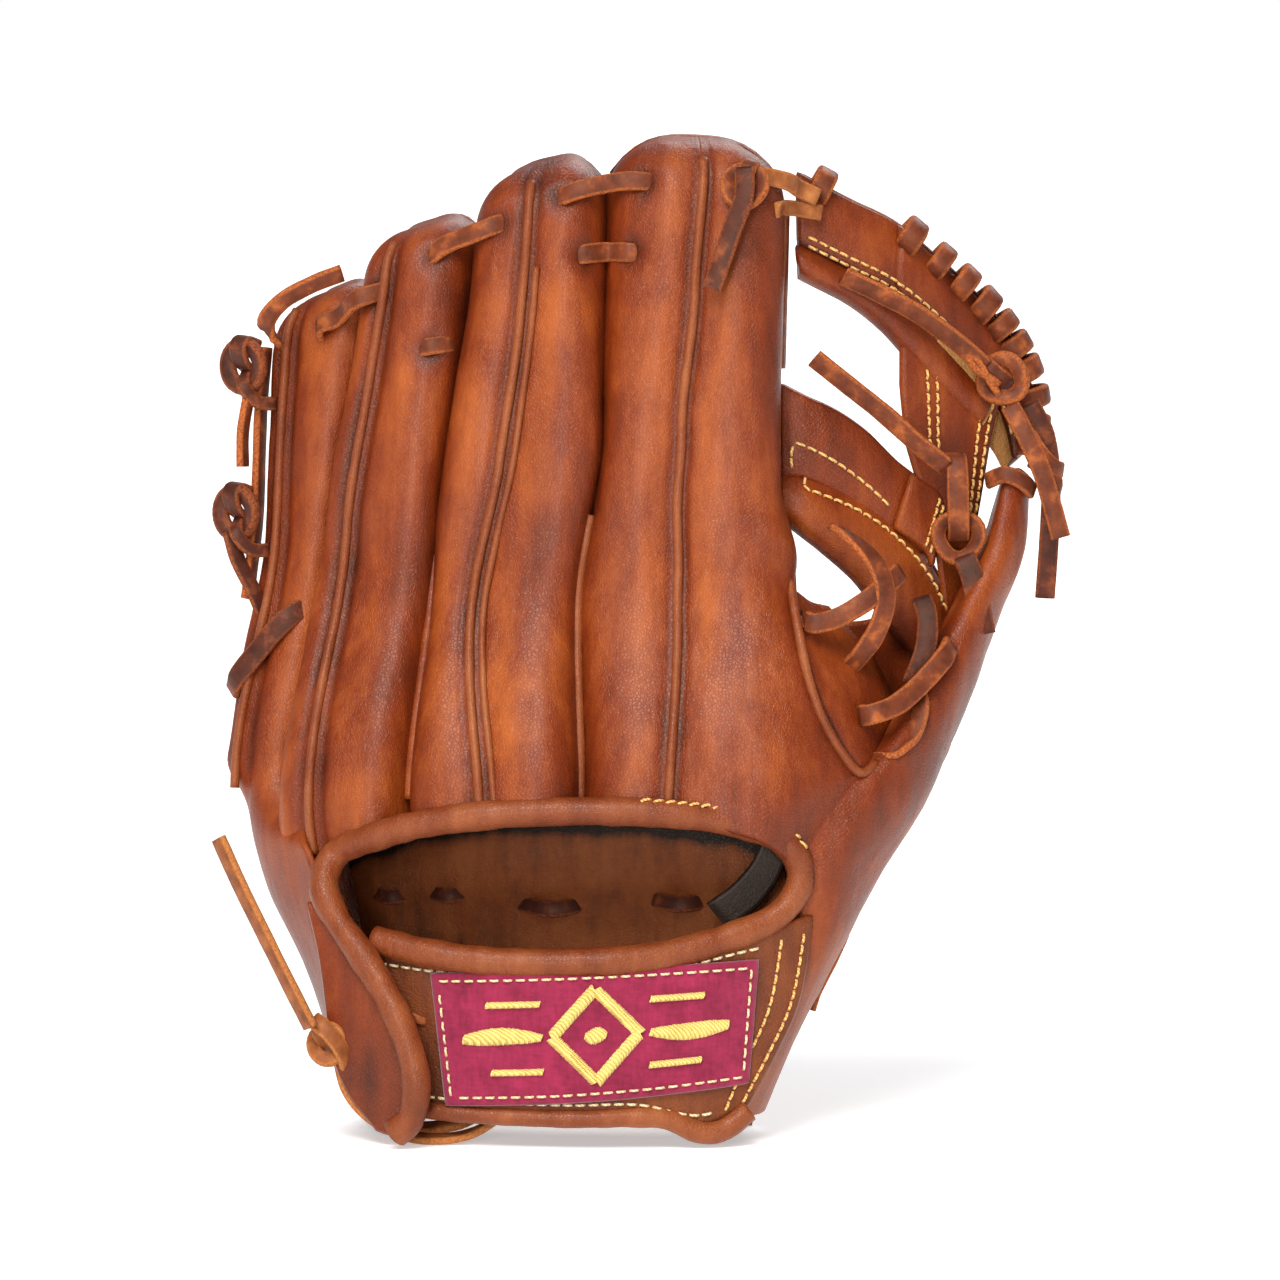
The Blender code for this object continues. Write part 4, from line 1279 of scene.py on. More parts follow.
def palm_row(v):
    """A row of (point, wear and painted shade) across the palm at share v of the way from the heel to the
    fingertips.
    """
    row = []
    for edge, (_, _, tips, _) in enumerate(FINGERS.values()):
        for i in range(PALM_COLUMNS + 1):
            s = 2 * i / PALM_COLUMNS - 1
            top = tips[0] + (tips[1] - tips[0]) * (s + 1) / 2 - 11 * abs(s) ** 3
            z = PALM_FOOT + (top - PALM_FOOT) * v
            above = ease((z - 110) / 60)
            gap = 0.15 + 0.95 * ease((z - PALM_SLIT + 4) / 8)
            left = edge_x(edge, z) + (gap if edge else 0)
            right = edge_x(edge + 1, z) - (gap if edge < 3 else -2.5 * (1 - above))
            x = (left + right) / 2 + (right - left) / 2 * s
            puff = 3.0 * (1 - abs(s) ** 2.5) * above * (1 - ease((v - 0.93) / 0.07) * 0.8)
            # Painted shade in the valleys between the fingers' puffs, over a plain base tone.
            wear_and_shade = -0.9 * ease((abs(s) - 0.8) / 0.2) * ease((z - 110) / 50) + 0.1
            row.append(((x, palm_y(x, z) + 2.6 + puff, z), wear_and_shade))
    return row


def make_palm():
    """The palm hide, puffed over each finger, with slits between the fingertips."""
    rows = 110
    net, wear_and_shade = net_wear_and_shade([palm_row(j / rows) for j in range(rows + 1)])
    columns = net.shape[1]
    faces = []
    for r in range(rows):
        for c in range(columns - 1):
            if c % (PALM_COLUMNS + 1) == PALM_COLUMNS and net[r, c, 2] > PALM_SLIT - 4:
                continue
            a = r * columns + c
            faces.append((a + 1, a, a + columns, a + columns + 1))
    points = net.reshape(-1, 3)
    moved = crumple(points, point_normals(points, faces), 0.5, (0.5, 1, 0.5))
    moved[:, 2] = np.maximum(points[:, 2], PALM_FOOT)
    points, faces, wear_and_shade = thicken(moved, faces, LEATHER + 0.3, wear_and_shade.ravel())
    points[:, 2] = np.maximum(points[:, 2], 0.02)
    obj = make_object("palm_leather", points, faces, "leather", {"wear_and_shade": wear_and_shade})
    attach(obj, "hand", ("palm_shell",))


# ---------------------------------------------------------------- thumb and web

# The thumb's side of the palm, as the (x, z) ends of rows from the crease to the thumb's edge.
THUMB_FRONT = (
    ((47.5, 46), (51, 44)),
    ((47.5, 61), (57, 59)),
    ((47.5, 80), (65.5, 75.5)),
    ((47.5, 100), (74.5, 91)),
    ((48, 120), (82.5, 104)),
    ((50, 141), (91, 121)),
    ((67, 145), (95.5, 133)),
    ((83, 150), (100, 144)),
    ((97, 163), (107.5, 162)),
    ((104.5, 182), (110.5, 181)),
)


def make_thumb_front():
    """The thumb's side of the palm, with its pad of felt behind it."""
    rows = []
    for (left, low), (right, high) in THUMB_FRONT:
        row = []
        for i in range(5):
            x, z = left + (right - left) * i / 4, low + (high - low) * i / 4
            row.append((x, palm_y(x, z) + 1.4 + 2.2 * math.sin(math.pi * i / 4) * ease((z - 60) / 50), z))
        rows.append(row)
    net = surface(rows, 30, 100)[:, ::-1]
    net[:, :, 1] += 2.4
    sheet("thumb_palm_leather", net, "thumb", ("thumb_front",), rough=0.5)
    pad = surface([[(x + 1, y - 5.6, z) for x, y, z in row[:4]] for row in rows[1:5]], 18, 24)
    sheet("thumb_pad_felt", pad, "thumb", ("thumb_pad",), "felt", thick=3.4)


# The crotch panel, row by row from the thumb's seam up to the web; each row runs from the piping inwards.
GUSSET = (
    ((62.5, -12.6, 104), (66.5, -10, 105), (70.5, -4, 107), (72.5, 3, 110), (72.5, 11, 112)),
    ((57, -14.2, 111), (61.5, -11.5, 112), (67.5, -4.5, 114), (71.5, 3, 116), (73, 11, 118)),
    ((51.5, -14.5, 121), (57.5, -11, 121.5), (64, -4, 124), (69, 3, 126), (71, 11, 127)),
    ((47.5, -13, 132), (53, -9, 132.5), (59.5, -3, 134), (64.5, 4, 135), (66.5, 11, 136)),
    ((45, -8, 145), (49, -5.5, 144.5), (54, -0.5, 143), (58, 4.5, 143), (60.5, 10, 143)),
    ((43.5, -1, 156), (46, 1, 154), (49, 4, 151.5), (52, 7, 150.5), (54.5, 10, 150)),
)


def make_gusset():
    """The crotch panel between the index finger's piping and the thumb."""
    net = surface(GUSSET, 30, 44)
    shaded_and_worn = np.zeros(net.shape[:2])
    # Painted shade on the first columns, beside the piping.
    shaded_and_worn[:, :3] = -0.8
    sheet("gusset_leather", net, "both", ("thumb_gusset",), rough=0.6, wear_and_shade=shaded_and_worn)


# Outlines of the web's panels, as (x, z). The post's are rows from its foot up.
TOP_BAR_HIGH = (
    (46, 272), (60, 264.5), (73, 258), (84, 249), (94, 240), (103, 230), (110, 219), (114, 206), (113, 193)
)
TOP_BAR_SEAM = (
    (46, 252), (60, 245), (72, 239), (82, 231.5), (91, 223), (98, 215), (104, 206), (107, 198), (108, 190)
)
TOP_BAR_LOW = (
    (46, 242), (58, 235.5), (67, 229), (76, 220), (84, 211), (92, 203), (99, 197), (103, 192), (105.5, 187)
)
BRIDGE_HIGH = ((41, 212), (47, 209), (57, 204.5), (66, 198), (74, 190), (82, 184))
BRIDGE_LOW = ((41, 186), (47, 186), (56, 182), (66, 176), (74, 170), (82, 164))
LOWER_HIGH = ((41, 187.5), (52, 185), (64, 179.5), (75, 171), (84, 160), (89, 149), (92, 139))
LOWER_LOW = ((41, 173), (51, 165), (60.5, 156.5), (68, 147), (73.5, 139.5), (79, 134), (86, 131))
CROSS_STRAP = (((74, 171), (82, 165), (84, 160)), ((79, 186), (86, 181), (88, 176)))
POST = (
    ((89, 146), (93.5, 144)),
    ((86.5, 165), (95.5, 163)),
    ((82, 181), (98.5, 179)),
    ((77.5, 196), (101.5, 196)),
    ((76, 212), (104, 207)),
    ((76, 230), (101, 226)),
)


def web_net(lines, across, along, ahead=0.0, bulge=0.0, tilt=0.0):
    """A web panel through outlines given as (x, z), its middle bulge mm off the web's own curve."""
    fine = [smooth_path([(x, 0, z) for x, z in line], across) for line in lines]
    grid = []
    for j in range(along + 1):
        v = j / along
        row = []
        for i in range(across + 1):
            column = [line[i] for line in fine]
            place_on = v * (len(column) - 1)
            k = min(int(place_on), len(column) - 2)
            p = column[k].lerp(column[k + 1], place_on - k)
            swell = bulge * (1 - abs(2 * v - 1) ** 2.4)
            row.append((p.x, palm_y(p.x, p.z) + ahead - swell + tilt * (v - 0.5), p.z))
        grid.append(row)
    return np.array(grid)


def darker_rows(net, count, dark, plain):
    """Wear-and-shade values with painted shade along the first rows of a net."""
    shaded_and_worn = np.full(net.shape[:2], plain)
    shaded_and_worn[:count] = dark
    return shaded_and_worn


def make_top_bar():
    """The web's top bar: its face, its rolled lower edge, its back, and the suede inside it."""
    net = web_net((TOP_BAR_SEAM, TOP_BAR_HIGH), 110, 18, 0.0, 1.4)
    joint = 30
    net[:, joint, 1] += 0.9
    net[:, joint + 1 :, 1] -= 0.7
    # Painted shade along the top bar's first rows, where its rolled edge tucks under it.
    wear_and_shade = darker_rows(net, 2, -0.7, 0.1)
    sheet("web_top_leather", net, "thumb", ("web_top_bar",), thick=WEB_LEATHER, wear_and_shade=wear_and_shade)
    lines = [on_net(net, ((0.02, v), (0.5, v), (0.93, v)), 200) for v in (0.17, 0.04)]
    stitching("web_top_stitching", lines, "thumb", pitch=3.4)
    roll = web_net((TOP_BAR_LOW, TOP_BAR_SEAM), 90, 18, 1.2, 5.2)[:, :66]
    sheet("web_roll_leather", roll, "thumb", ("web_roll",), thick=2.4, rough=0.35)
    back = web_net((TOP_BAR_LOW, TOP_BAR_HIGH), 90, 16, 5.6, -2.4)[:, ::-1]
    sheet("web_top_back_leather", back, "thumb", thick=1.8, rough=0.35)
    inner = web_net((TOP_BAR_LOW, TOP_BAR_SEAM), 90, 10, 1.9, 0.6)[:, 60:]
    sheet("web_suede", inner, "thumb", kind="suede", thick=1.6, rough=0.4)
    flap = web_net((TOP_BAR_LOW, TOP_BAR_SEAM), 90, 12, -2.6, 0.4)[3:, 40:67]
    sheet("web_flap_suede", flap, "thumb", kind="suede", thick=1.4, rough=0.4)


def make_web():
    """The web: top bar, post, bridge and lower bar, each with its stitching."""
    make_top_bar()
    post = web_net(POST, 30, 50, -1.6, 0.5)
    sheet("web_post_leather", post, "thumb", ("web_post",), thick=WEB_LEATHER)
    lines = [on_net(post, ((u, 0.52), (u, 0.75), (u, 0.97)), 80) for u in (0.24, 0.34)]
    lines += [on_net(post, ((u, 0.3), (u, 0.55), (u, 0.8)), 80) for u in (0.82, 0.93)]
    stitching("web_post_stitching", lines, "thumb")
    bridge = web_net((BRIDGE_LOW, BRIDGE_HIGH), 50, 22, 0.6, 1.2)
    sheet("web_bridge_leather", bridge, "thumb", ("web_bridge",), thick=WEB_LEATHER, rough=0.35)
    lines = [
        on_net(bridge, ((0.1, 0.08), (0.09, 0.24), (0.12, 0.4)), 30),
        on_net(bridge, ((0.13, 0.4), (0.4, 0.36), (0.78, 0.26)), 90),
    ]
    stitching("web_bridge_stitching", lines, "thumb", pitch=3.4, length=2.6)
    lower = web_net((LOWER_LOW, LOWER_HIGH), 80, 28, 1.4, 5.4, 1.5)
    # Painted shade along the lower bar's first rows, at its lower edge.
    wear_and_shade = darker_rows(lower, 3, -0.5, 0.15)
    sheet("web_lower_leather", lower, "thumb", ("web_lower_bar",), thick=WEB_LEATHER, rough=0.45, wear_and_shade=wear_and_shade)
    behind = web_net((LOWER_LOW, LOWER_HIGH), 80, 12, 6.2, -2.0)[:, ::-1]
    sheet("web_lower_back_leather", behind, "thumb", thick=1.8, rough=0.4)
    edge = on_net(lower, ((0.1, 0.98), (0.1, 0.86), (0.14, 0.8), (0.5, 0.87), (0.97, 0.9)), 160)
    stitching("web_lower_stitching", [edge], "thumb", pitch=3.4, length=2.6)
    strap = web_net(CROSS_STRAP, 20, 20, -2.2, 1.2)
    sheet("web_cross_strap", strap, "thumb")
    lines = [on_net(strap, ((u, 0.03), (u + 0.06, 0.97)), 40) for u in (0.5, 0.72)]
    stitching("web_cross_stitching", lines, "thumb", pitch=3.0, length=2.3)
    make_whip()


# Where the lacing comes over the web's top edge, as places along it.
BEADS = (0.48, 2.45, 3.25, 3.95, 4.6, 5.2, 5.75, 6.3, 6.9, 7.5, 7.9)
# One turn of it, as mm out from the edge, a share of its lean along the edge, and mm behind the web.
WHIP_TURN = (
    (-3.6, 1, 1.0), (-2.8, 0.8, -3.4), (0.2, 0.4, -4.8), (3.0, 0, -2.0), (3.4, -0.3, 4.2), (-1.6, -0.5, 7.6),
    (-5.6, -0.8, 7.2), (-6.8, -0.9, 3.5),
)


def make_whip():
    """The lacing whipped over the web's top edge, with a short run behind it from each turn to the next."""
    edge = smooth_path([(x, 0, z) for x, z in TOP_BAR_HIGH], 160)
    spots = [int(bead * 20) for bead in BEADS]
    parts = []
    for k, i in enumerate(spots):
        p = edge[i]
        along = (edge[min(i + 3, 160)] - edge[max(i - 3, 0)]).normalized()
        out = Vector((-along.z, 0, along.x))
        y = palm_y(p.x, p.z)
        lean = along * random.uniform(0.2, 1.1)
        route = [p + out * up + lean * share + Vector((0, y + back, 0)) for up, share, back in WHIP_TURN]
        parts.append(lace_part(route, along, width=6.4 + 0.4 * math.sin(k * 2.1), thick=3.2, step=1.0))
        if k + 1 < len(spots):
            q = edge[spots[k + 1]]
            y_next = palm_y(q.x, q.z)
            route = [
                p - out * 5.6 + Vector((0, y + 7.0, 0)),
                p.lerp(q, 0.5) - out * 4.4 + Vector((0, y_next + 8.2, 0)),
                q - out * 5.6 + Vector((0, y_next + 7.0, 0)),
            ]
            parts.append(lace_part(route, out, width=4.6))
    lace("web_whip_lacing", parts, "thumb", ("web_top_lace",))


# ---------------------------------------------------------------- laces, knots and tails


def knot_parts(centre, facing, up, radius=5.0, width=4.4, thick=3.0, strap=True):
    """A lace turned into a ring, with a second turn lying over it and down through it."""
    centre, facing = Vector(centre), Vector(facing).normalized()
    up = (Vector(up) - Vector(up).project(facing)).normalized()
    right = up.cross(facing)
    ring, lie = [], []
    for k in range(28):
        a = 2 * math.pi * k / 28
        out = right * math.cos(a) + up * math.sin(a)
        ring.append(centre + out * radius * (1 + 0.06 * math.sin(3 * a)) + facing * 0.8 * math.sin(2 * a))
        lie.append(out + facing * 0.35)
    parts = [closed_sweep(ring, lie, ribbon_profile(width, thick))]
    if strap:
        turn = ((radius + 0.4, -4.0), (radius + 1.6, 1.0), (radius - 0.8, 3.2), (0.9, 1.2), (-1.5, -2.5))
        route = [centre + up * rise + facing * ahead for rise, ahead in turn]
        parts.append(lace_part(route, right, width=width + 0.6, thick=2.2, step=1.0))
    return parts


def closed_sweep(path, across, profile):
    points, faces, raw = [], [], []
    count, sides = len(path), len(profile)
    for i in range(count):
        way = (path[(i + 1) % count] - path[i - 1]).normalized()
        side = (across[i] - across[i].project(way)).normalized()
        up = way.cross(side)
        for u, v, edge in profile:
            points.append(path[i] + side * u + up * v)
            raw.append(edge)
    for r in range(count):
        n = (r + 1) % count
        for k in range(sides):
            m = (k + 1) % sides
            faces.append((r * sides + k, r * sides + m, n * sides + m, n * sides + k))
    return points, faces, raw


def make_hand_laces():
    """The laces of the fingertips and of the little finger's edge."""
    tips = (
        on("pinky", (0.1, 222, -6), (0.35, 226, -1), (0.5, 229, 3.4), (0.75, 231, 4.6))
        + on("ring", (-0.72, 236, 4.2), (-0.5, 238, 0), (-0.2, 240, -7))
        + on("ring", (0.25, 246, -7), (0.5, 249, 0), (0.7, 252, 4))
        + on("middle", (-0.72, 256, 4.2), (-0.5, 258, 0), (-0.2, 259, -7))
        + on("middle", (0.2, 264, -7), (0.45, 266, 0.5), (0.7, 268, 4.6))
        + on("index", (-0.8, 270, 5.2), (-0.55, 270, 0), (-0.2, 268, -7))
    )
    lace("fingertip_lacing", [lace_part(tips, (0, 0.25, 1), width=5.4)], "hand", ("fingertip_lace",))
    low = on("middle", (0.45, 248, -6), (0.72, 249.5, 0.8), (0.92, 250, 2.4))
    low += on("index", (-0.9, 250, 2.2), (-0.72, 250, 0.8), (-0.45, 249, -6))
    peek = on("ring", (0.25, 222, -6), (0.55, 223, 0.6), (0.85, 224, 1.2), (0.98, 224, -3))
    parts = [lace_part(low, (0, 0.2, 1)), lace_part(peek, (0, 0.3, 1), width=5)]
    lace("middle_index_lacing", parts, "hand", ("middle_index_lace",))
    over = ((-103, 30, 224), (-106, 24, 229.5), (-101, 18, 236), (-92, 15, 241), (-84, 16, 244))
    side = on(
        "pinky", (-0.75, 222, 3), (-0.8, 205, 3.4), (-0.82, 190, 3.4), (-0.8, 172, 3.4), (-0.72, 150, 3)
    )
    outer = on("pinky", (-0.6, 208, 8.5), (-0.62, 198, 9.5), (-0.62, 188, 9))
    parts = [
        lace_part(over, (-0.5, -0.5, 0.7), width=5.2),
        lace_part(side, (0.45, 1, 0)),
        lace_part(outer, (0.5, 1, 0), width=4.6),
    ]
    lace("pinky_side_lacing", parts, "hand", ("pinky_side_lace",))
    end = ((-2, 0, -6), (0.5, -2.0, -14), (5, -1.5, -23), (8.5, 1, -32))
    for which, z, below in (("upper", 217, ()), ("lower", 175, (end,))):
        centre = finger_point("pinky", -0.62, z, 7.0) + Vector((-3.0, 1.0, 0))
        parts = knot_parts(centre, (-0.6, -0.8, 0), (0.1, 0, 1), 5.9, 5.0, 3.4)
        turn = [centre + Vector(p) for p in ((1, 2, -2), (0, -3.5, -6), (4, -3.4, -10.5), (9, -1.2, -11))]
        parts.append(lace_part(turn, (0.6, 0.4, 0.6), width=4))
        for route in below:
            parts.append(lace_part([centre + Vector(p) for p in route], (0.8, 0.5, 0.2), width=4.6))
        lace(f"pinky_{which}_knot_lace", parts, "hand", (f"pinky_{which}_knot",), "dark_lace")
    loop = on("pinky", (-0.55, 124, 1.5), (-0.3, 128, 2.8), (0, 134, 3.0), (0.35, 141, 3.0), (0.62, 146, 2.0))
    loop += on("pinky", (0.8, 148, -1))
    parts = [lace_part(loop, (-0.3, 0.2, 1), width=6.2)]
    lace("pinky_loop_lacing", parts, "hand", ("pinky_loop",), "dark_lace")


def make_index_knot():
    """The knot on the index finger's tip, its tie to the web, and the lacing of the web's open side."""
    centre = finger_point("index", 0.5, 269, 5.2)
    parts = knot_parts(centre, (-0.15, -1, 0.35), (0.35, 0.2, 1), 5.0, 4.2, 2.8)
    lace("index_tip_knot_lace", parts, "hand", ("index_tip_knot",))
    tie = [*on("index", (0.7, 272, 4), (0.93, 270, 7)), (45.5, 16.5, 268), (51, 19, 265.5)]
    under = [*on("index", (0.85, 262, 3)), (42, 17, 262.5), (46, 19, 262), (52, 21, 261)]
    parts = [lace_part(tie, (0.2, 0, 1), width=5), lace_part(under, (0.2, 0, 1), width=4.6)]
    lace("index_web_tie_lace", parts, "hand", ("index_web_tie",), "tan_lace")
    run = [(edge_x(4, z) + 2.0, palm_y(42, z) - 2.5, z) for z in (262, 250, 238, 227, 217)]
    lace("index_web_lacing", [lace_part(run, (0.3, 1, 0), width=4.4)], "hand", ("index_web_lace",))


def make_thumb_laces():
    """The laces of the crotch, the web's foot and the thumb's tip and edge."""
    upper = (
        (56, 3, 172), (59.5, -1.5, 170), (65.2, -4, 165), (69, -5.5, 158.5),
        (69.7, -6.5, 151), (67, -6.5, 143), (63, -5, 137), (59.7, -1, 133),
    )
    across = (
        (47.5, -8, 147), (49.5, -10, 146), (56, -9, 147.5), (64, -7.5, 152), (70.5, -4, 157), (74, 1, 160)
    )
    parts = [lace_part(upper, (0.8, 0.2, -0.4), width=5.8), lace_part(across, (-0.2, 0.3, 1), width=5.8)]
    lace("crotch_upper_lacing", parts, "thumb", ("crotch_lace_upper",))
    low = (
        (63, -8.5, 120), (66, -11, 120.5), (73, -8, 123), (80, -3, 128.5), (86.5, 1, 135.5), (88.5, 6, 139)
    )
    turn = ((66, -7.5, 107), (71, -9, 108), (77, -5, 113), (80, -2, 121), (79, 3, 127))
    parts = [lace_part(low, (-0.3, 0.2, 1), width=6.0), lace_part(turn, (0.7, -0.1, 0.4), width=5)]
    lace("crotch_lower_lacing", parts, "thumb", ("crotch_lace_lower",))
    side = ((80.5, 9, 152), (82, 5.5, 147), (81.8, 3.5, 140), (80, 2.5, 133.5), (77.5, 3.5, 128))
    parts = [lace_part(side, (0.9, 0, 0.2), width=6)]
    lace("crotch_side_lacing", parts, "thumb", ("crotch_lace_side",), "dark_lace")
    parts = knot_parts((104.5, 36.5, 213), (-0.25, -1, 0.15), (-0.75, 0.2, 0.65), 5.6, 4.6, 3.0)
    for s in (-1, 1):
        twist = [(93 + 2.6 * k, 32 + 0.8 * k, 222 - 2.9 * k + s * 1.6 * math.sin(1.2 * k)) for k in range(5)]
        parts.append(lace_part(twist, (0, 1, 0.3), width=3.6))
    lace("thumb_tip_knot_lace", parts, "thumb", ("thumb_tip_knot",))
    base = knot_parts((91.5, 24.5, 168.5), (-0.1, -1, 0.1), (0, 0.1, 1), 5.8, 4.4, 2.9, strap=False)
    lace("web_base_knot_lace", base, "thumb", ("web_base_knot",))
    strap = (
        (90, 28, 190), (90.5, 22.5, 191.5), (91, 19.5, 187), (91.2, 19.0, 179), (91.4, 19.8, 172),
        (91.5, 24, 168.5), (91.4, 28, 168),
    )
    lace("web_base_strap_lace", [lace_part(strap, (1, 0, 0), width=6.2)], "thumb", ("web_base_loop",))
    edge = ((88, 24, 116), (87, 25.5, 109), (83.5, 27.5, 102), (79.5, 30, 95), (76, 32, 90))
    heel = ((77, 24, 92), (74.5, 26, 88), (72, 27.5, 84))
    low_end = ((58, 15, 56), (54.5, 16, 48), (50.5, 17, 40), (48.5, 17.5, 34))
    parts = [lace_part(route, (0.8, -0.3, 0.3), width=5) for route in (edge, heel, low_end)]
    lace("thumb_edge_lacing", parts, "thumb", ("thumb_edge_lace",))
    outer = ((112, 34, 197), (115, 31, 192), (119, 32, 188), (121, 35, 187))
    inner = ((113, 35, 190), (117, 32.5, 187), (120, 33, 182), (119, 37, 179))
    top = ((100, 34, 184), (105, 31, 186), (110, 31.5, 184), (113, 36, 181))
    parts = [lace_part(route, (0.2, 0.2, 1), width=5) for route in (outer, inner, top)]
    lace("thumb_tip_lacing", parts, "thumb")


def make_wrist_laces():
    """The lace that holds the wrist tab, and its knot."""
    loop = (
        (-85, -14, 26), (-82, -16, 15), (-75, -20, 7.2), (-65, -22.5, 2.6),
        (-55, -23, 1.7), (-46, -21.5, 3.4), (-37, -19, 8.5),
    )
    inner = ((-80, -6, 18), (-74, -10, 9), (-64, -14, 4), (-52, -16, 4.8), (-44, -16, 8))
    parts = [lace_part(loop, (0.3, 1, 0.25), width=5.2), lace_part(inner, (0.25, 0.9, 0.5), width=4.6)]
    lace("wrist_lacing", parts, "hand", ("wrist_lace",), "tan_lace")
    centre = Vector((-87.5, -17.5, 28))
    parts = knot_parts(centre, (-0.5, -1, 0.1), (-0.3, 0, 1), 4.4, 4.2, 2.8)
    over = [centre + Vector(p) for p in ((-4, -1, 7), (1, -3.5, 3), (5, -3, -3), (6, 0, -8))]
    parts.append(lace_part(over, (0.7, 0.3, 0.6), width=5))
    lace("wrist_knot_lace", parts, "hand", ("wrist_knot",), "tan_lace")


def tail(name, node, body, points, across, shade="lace"):
    """A free lace end that hangs from its knot."""
    path = even_path(points, 40)
    spots, faces, raw = sweep(path, across, ribbon_profile(LACE_WIDTH, LACE_THICK), swell=0.04)
    obj = make_object(name, spots, faces, shade, {"raw": raw})
    attach(obj, body, (node,))


def make_tails():
    """The six free lace ends, on the routes that part.py gives them, and a short end that has no CAD node."""
    index = on_cad(
        "index", (0.5, 274, 12), (0.47, 266, 10.5), (0.38, 258, 8), (0.28, 249, 7.2), (0.17, 240, 6.6)
    )
    tail("index_tip_tail_lace", "index_tip_tail", "hand", index, (1, -0.2, 0.3), "dark_lace")
    high = ((99, 34.5, 217), (91, 29, 224), (80, 24.5, 232), (69, 21.5, 238), (58.5, 19, 243))
    tail("thumb_high_tail_lace", "thumb_tail_high", "thumb", high, (0.3, -0.5, 1))
    outer = ((106.5, 34, 205.5), (111, 31, 197), (115.5, 30, 187), (118.5, 30.5, 177), (121, 31.5, 168))
    tail("thumb_outer_tail_lace", "thumb_tail_outer", "thumb", outer, (1, 0, 0.2))
    low = ((112.5, 39, 206), (117, 38, 196), (118.5, 38.5, 182), (118, 39.5, 166), (117, 41, 150))
    tail("thumb_low_tail_lace", "thumb_tail_low", "thumb", low, (1, 0.1, 0), "dark_lace")
    web = ((87.5, 20, 189), (80, 17, 195), (70, 14.5, 204), (60, 12.5, 212), (50, 11.5, 220))
    tail("web_tail_lace", "web_tail", "thumb", web, (0.5, -0.4, 1))
    wrist = ((-92, -21.5, 33), (-98, -22, 45), (-105, -21, 59), (-112, -19, 73), (-118, -17, 86))
    tail("wrist_tail_lace", "wrist_tail", "hand", wrist, (0.6, -0.8, 0.2), "tan_lace")
    dark = ((93, 23, 163), (95.5, 20.5, 157), (97, 19, 149), (98.5, 18.5, 141))
    lace("web_base_short_end", [lace_part(dark, (1, 0, 0.2), width=7)], "thumb", (), "dark_lace")


# ---------------------------------------------------------------- camera, light and floor

VIEW_HEIGHT = 362.0  # mm seen from the bottom of the picture to its top
VIEW_DISTANCE = 2400.0
VIEW_ELEVATION = 4.0
VIEW_TARGET = (0.57, 0.0, 140.7)
SENSOR_WIDTH = 36
FLOOR_RADIUS = 30  # metres


def make_camera():
    """The photograph's viewing angle: from in front, a little above."""
    data = bpy.data.cameras.new("camera")
    data.sensor_width = SENSOR_WIDTH
    data.lens = SENSOR_WIDTH * VIEW_DISTANCE / VIEW_HEIGHT
    data.clip_end = 100
    camera = bpy.data.objects.new("camera", data)
    bpy.context.scene.collection.objects.link(camera)
    tilt = math.radians(VIEW_ELEVATION)
    back = Vector((0, -math.cos(tilt), math.sin(tilt)))
    camera.location = Vector(place(VIEW_TARGET)[0]) + back * VIEW_DISTANCE * MM
    camera.rotation_euler = (-back).to_track_quat("-Z", "Y").to_euler()
    bpy.context.scene.camera = camera


def area_light(name, where, target, size, watts, colour):
    data = bpy.data.lights.new(name, "AREA")
    data.shape = "RECTANGLE"
    data.size, data.size_y = size
    data.energy = watts
    data.color = colour
    lamp = bpy.data.objects.new(name, data)
    bpy.context.scene.collection.objects.link(lamp)
    lamp.location = where
    lamp.rotation_euler = (Vector(target) - Vector(where)).to_track_quat("-Z", "Y").to_euler()


def sun_light(name, azimuth, elevation, strength, angle, colour):
    """A distant soft light; azimuth turns from straight in front towards the right."""
    data = bpy.data.lights.new(name, "SUN")
    data.energy = strength
    data.angle = math.radians(angle)
    data.color = colour
    lamp = bpy.data.objects.new(name, data)
    bpy.context.scene.collection.objects.link(lamp)
    turn, rise = math.radians(azimuth), math.radians(elevation)
    source = Vector((math.sin(turn) * math.cos(rise), -math.cos(turn) * math.cos(rise), math.sin(rise)))
    lamp.rotation_euler = (-source).to_track_quat("-Z", "Y").to_euler()


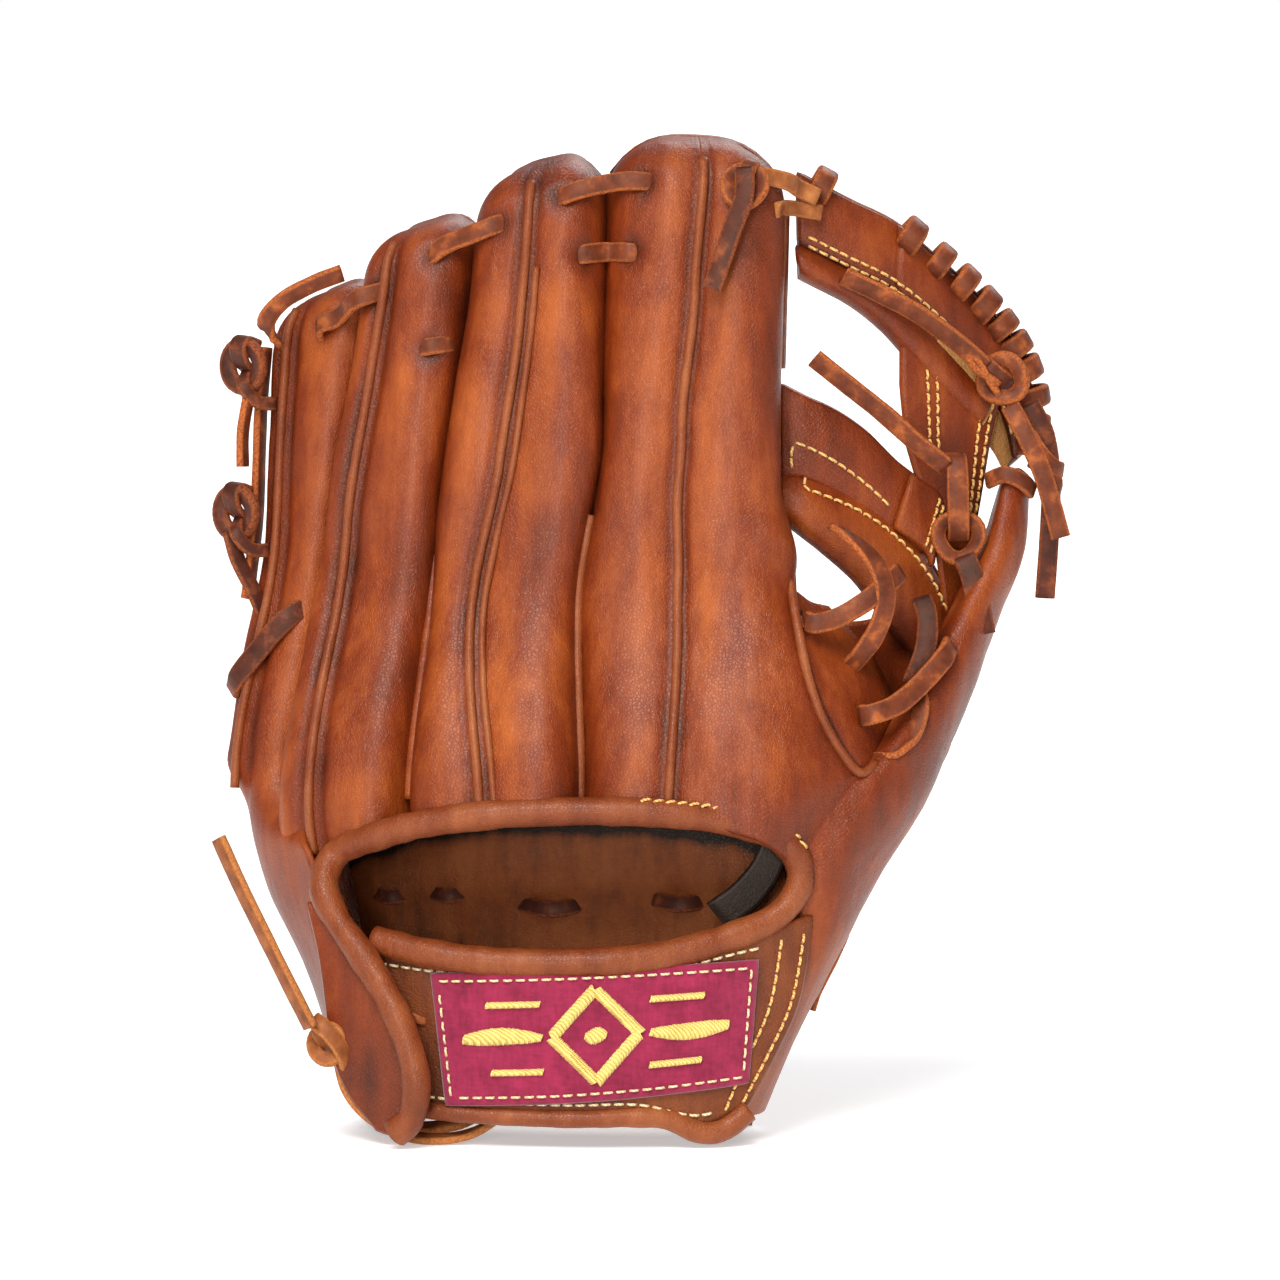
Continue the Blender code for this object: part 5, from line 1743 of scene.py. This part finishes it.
def make_light():
    """A soft key and back light, two panels for gloss, and a studio that is bright low down."""
    sun_light("key_light", -18, 49, 2.65, 32, (1.0, 0.98, 0.95))
    sun_light("back_light", 160, 40, 1.5, 40, (1.0, 1.0, 1.0))
    area_light("front_light", (-0.12, -1.0, 0.8), (0, 0, 0.2), (0.35, 0.35), 4.6, (1.0, 0.97, 0.93))
    area_light("gloss_light", (-0.35, -1.6, 0.32), (0, 0, 0.14), (0.2, 0.26), 7, (0.96, 0.98, 1.0))
    world = bpy.data.worlds.new("studio")
    bpy.context.scene.world = world
    world.use_nodes = True
    tree = world.node_tree
    where = add(tree, "ShaderNodeTexCoord").outputs["Generated"]
    height = add(tree, "ShaderNodeSeparateXYZ", {"Vector": where}).outputs["Z"]
    low, high = (1, 1, 1), (0.13, 0.135, 0.145)
    sky = ramp(tree, height, ((0.0, low), (0.08, low), (0.2, high), (1.0, (0.2, 0.2, 0.21))))
    shader = tree.nodes["Background"]
    tree.links.new(sky, shader.inputs["Color"])
    shader.inputs["Strength"].default_value = 1.0


def make_floor():
    """A pale round floor."""
    material = bpy.data.materials.new("pale_floor")
    material.use_nodes = True
    tree = material.node_tree
    shader = tree.nodes["Principled BSDF"]
    shader.inputs["Roughness"].default_value = 0.9
    shader.inputs["Specular IOR Level"].default_value = 0.1
    where = add(tree, "ShaderNodeTexCoord").outputs["Object"]
    grain = noise_at(tree, where, 3, 2)
    colour = ramp(tree, grain, ((0.3, (0.9, 0.9, 0.9)), (0.7, (0.93, 0.93, 0.93))))
    tree.links.new(colour, shader.inputs["Base Color"])
    shader.inputs["Emission Color"].default_value = (1, 1, 1, 1)
    shader.inputs["Emission Strength"].default_value = 0.42
    turns = [math.pi * k / 32 for k in range(64)]
    ring = [(FLOOR_RADIUS * math.cos(a), FLOOR_RADIUS * math.sin(a), 0) for a in turns]
    mesh = bpy.data.meshes.new("floor")
    mesh.from_pydata(ring, [], [tuple(range(64))])
    mesh.materials.append(material)
    floor = bpy.data.objects.new("floor", mesh)
    bpy.context.scene.collection.objects.link(floor)


def main():
    bpy.context.scene.view_settings.view_transform = "Standard"
    make_camera()
    make_tails()
    make_pinky()
    make_finger("ring")
    make_finger("middle")
    make_index_and_thumb()
    make_welts()
    make_opening()
    make_strap()
    make_tab()
    make_inside()
    make_palm()
    make_thumb_front()
    make_gusset()
    make_web()
    make_hand_laces()
    make_index_knot()
    make_thumb_laces()
    make_wrist_laces()
    make_light()
    make_floor()


main()
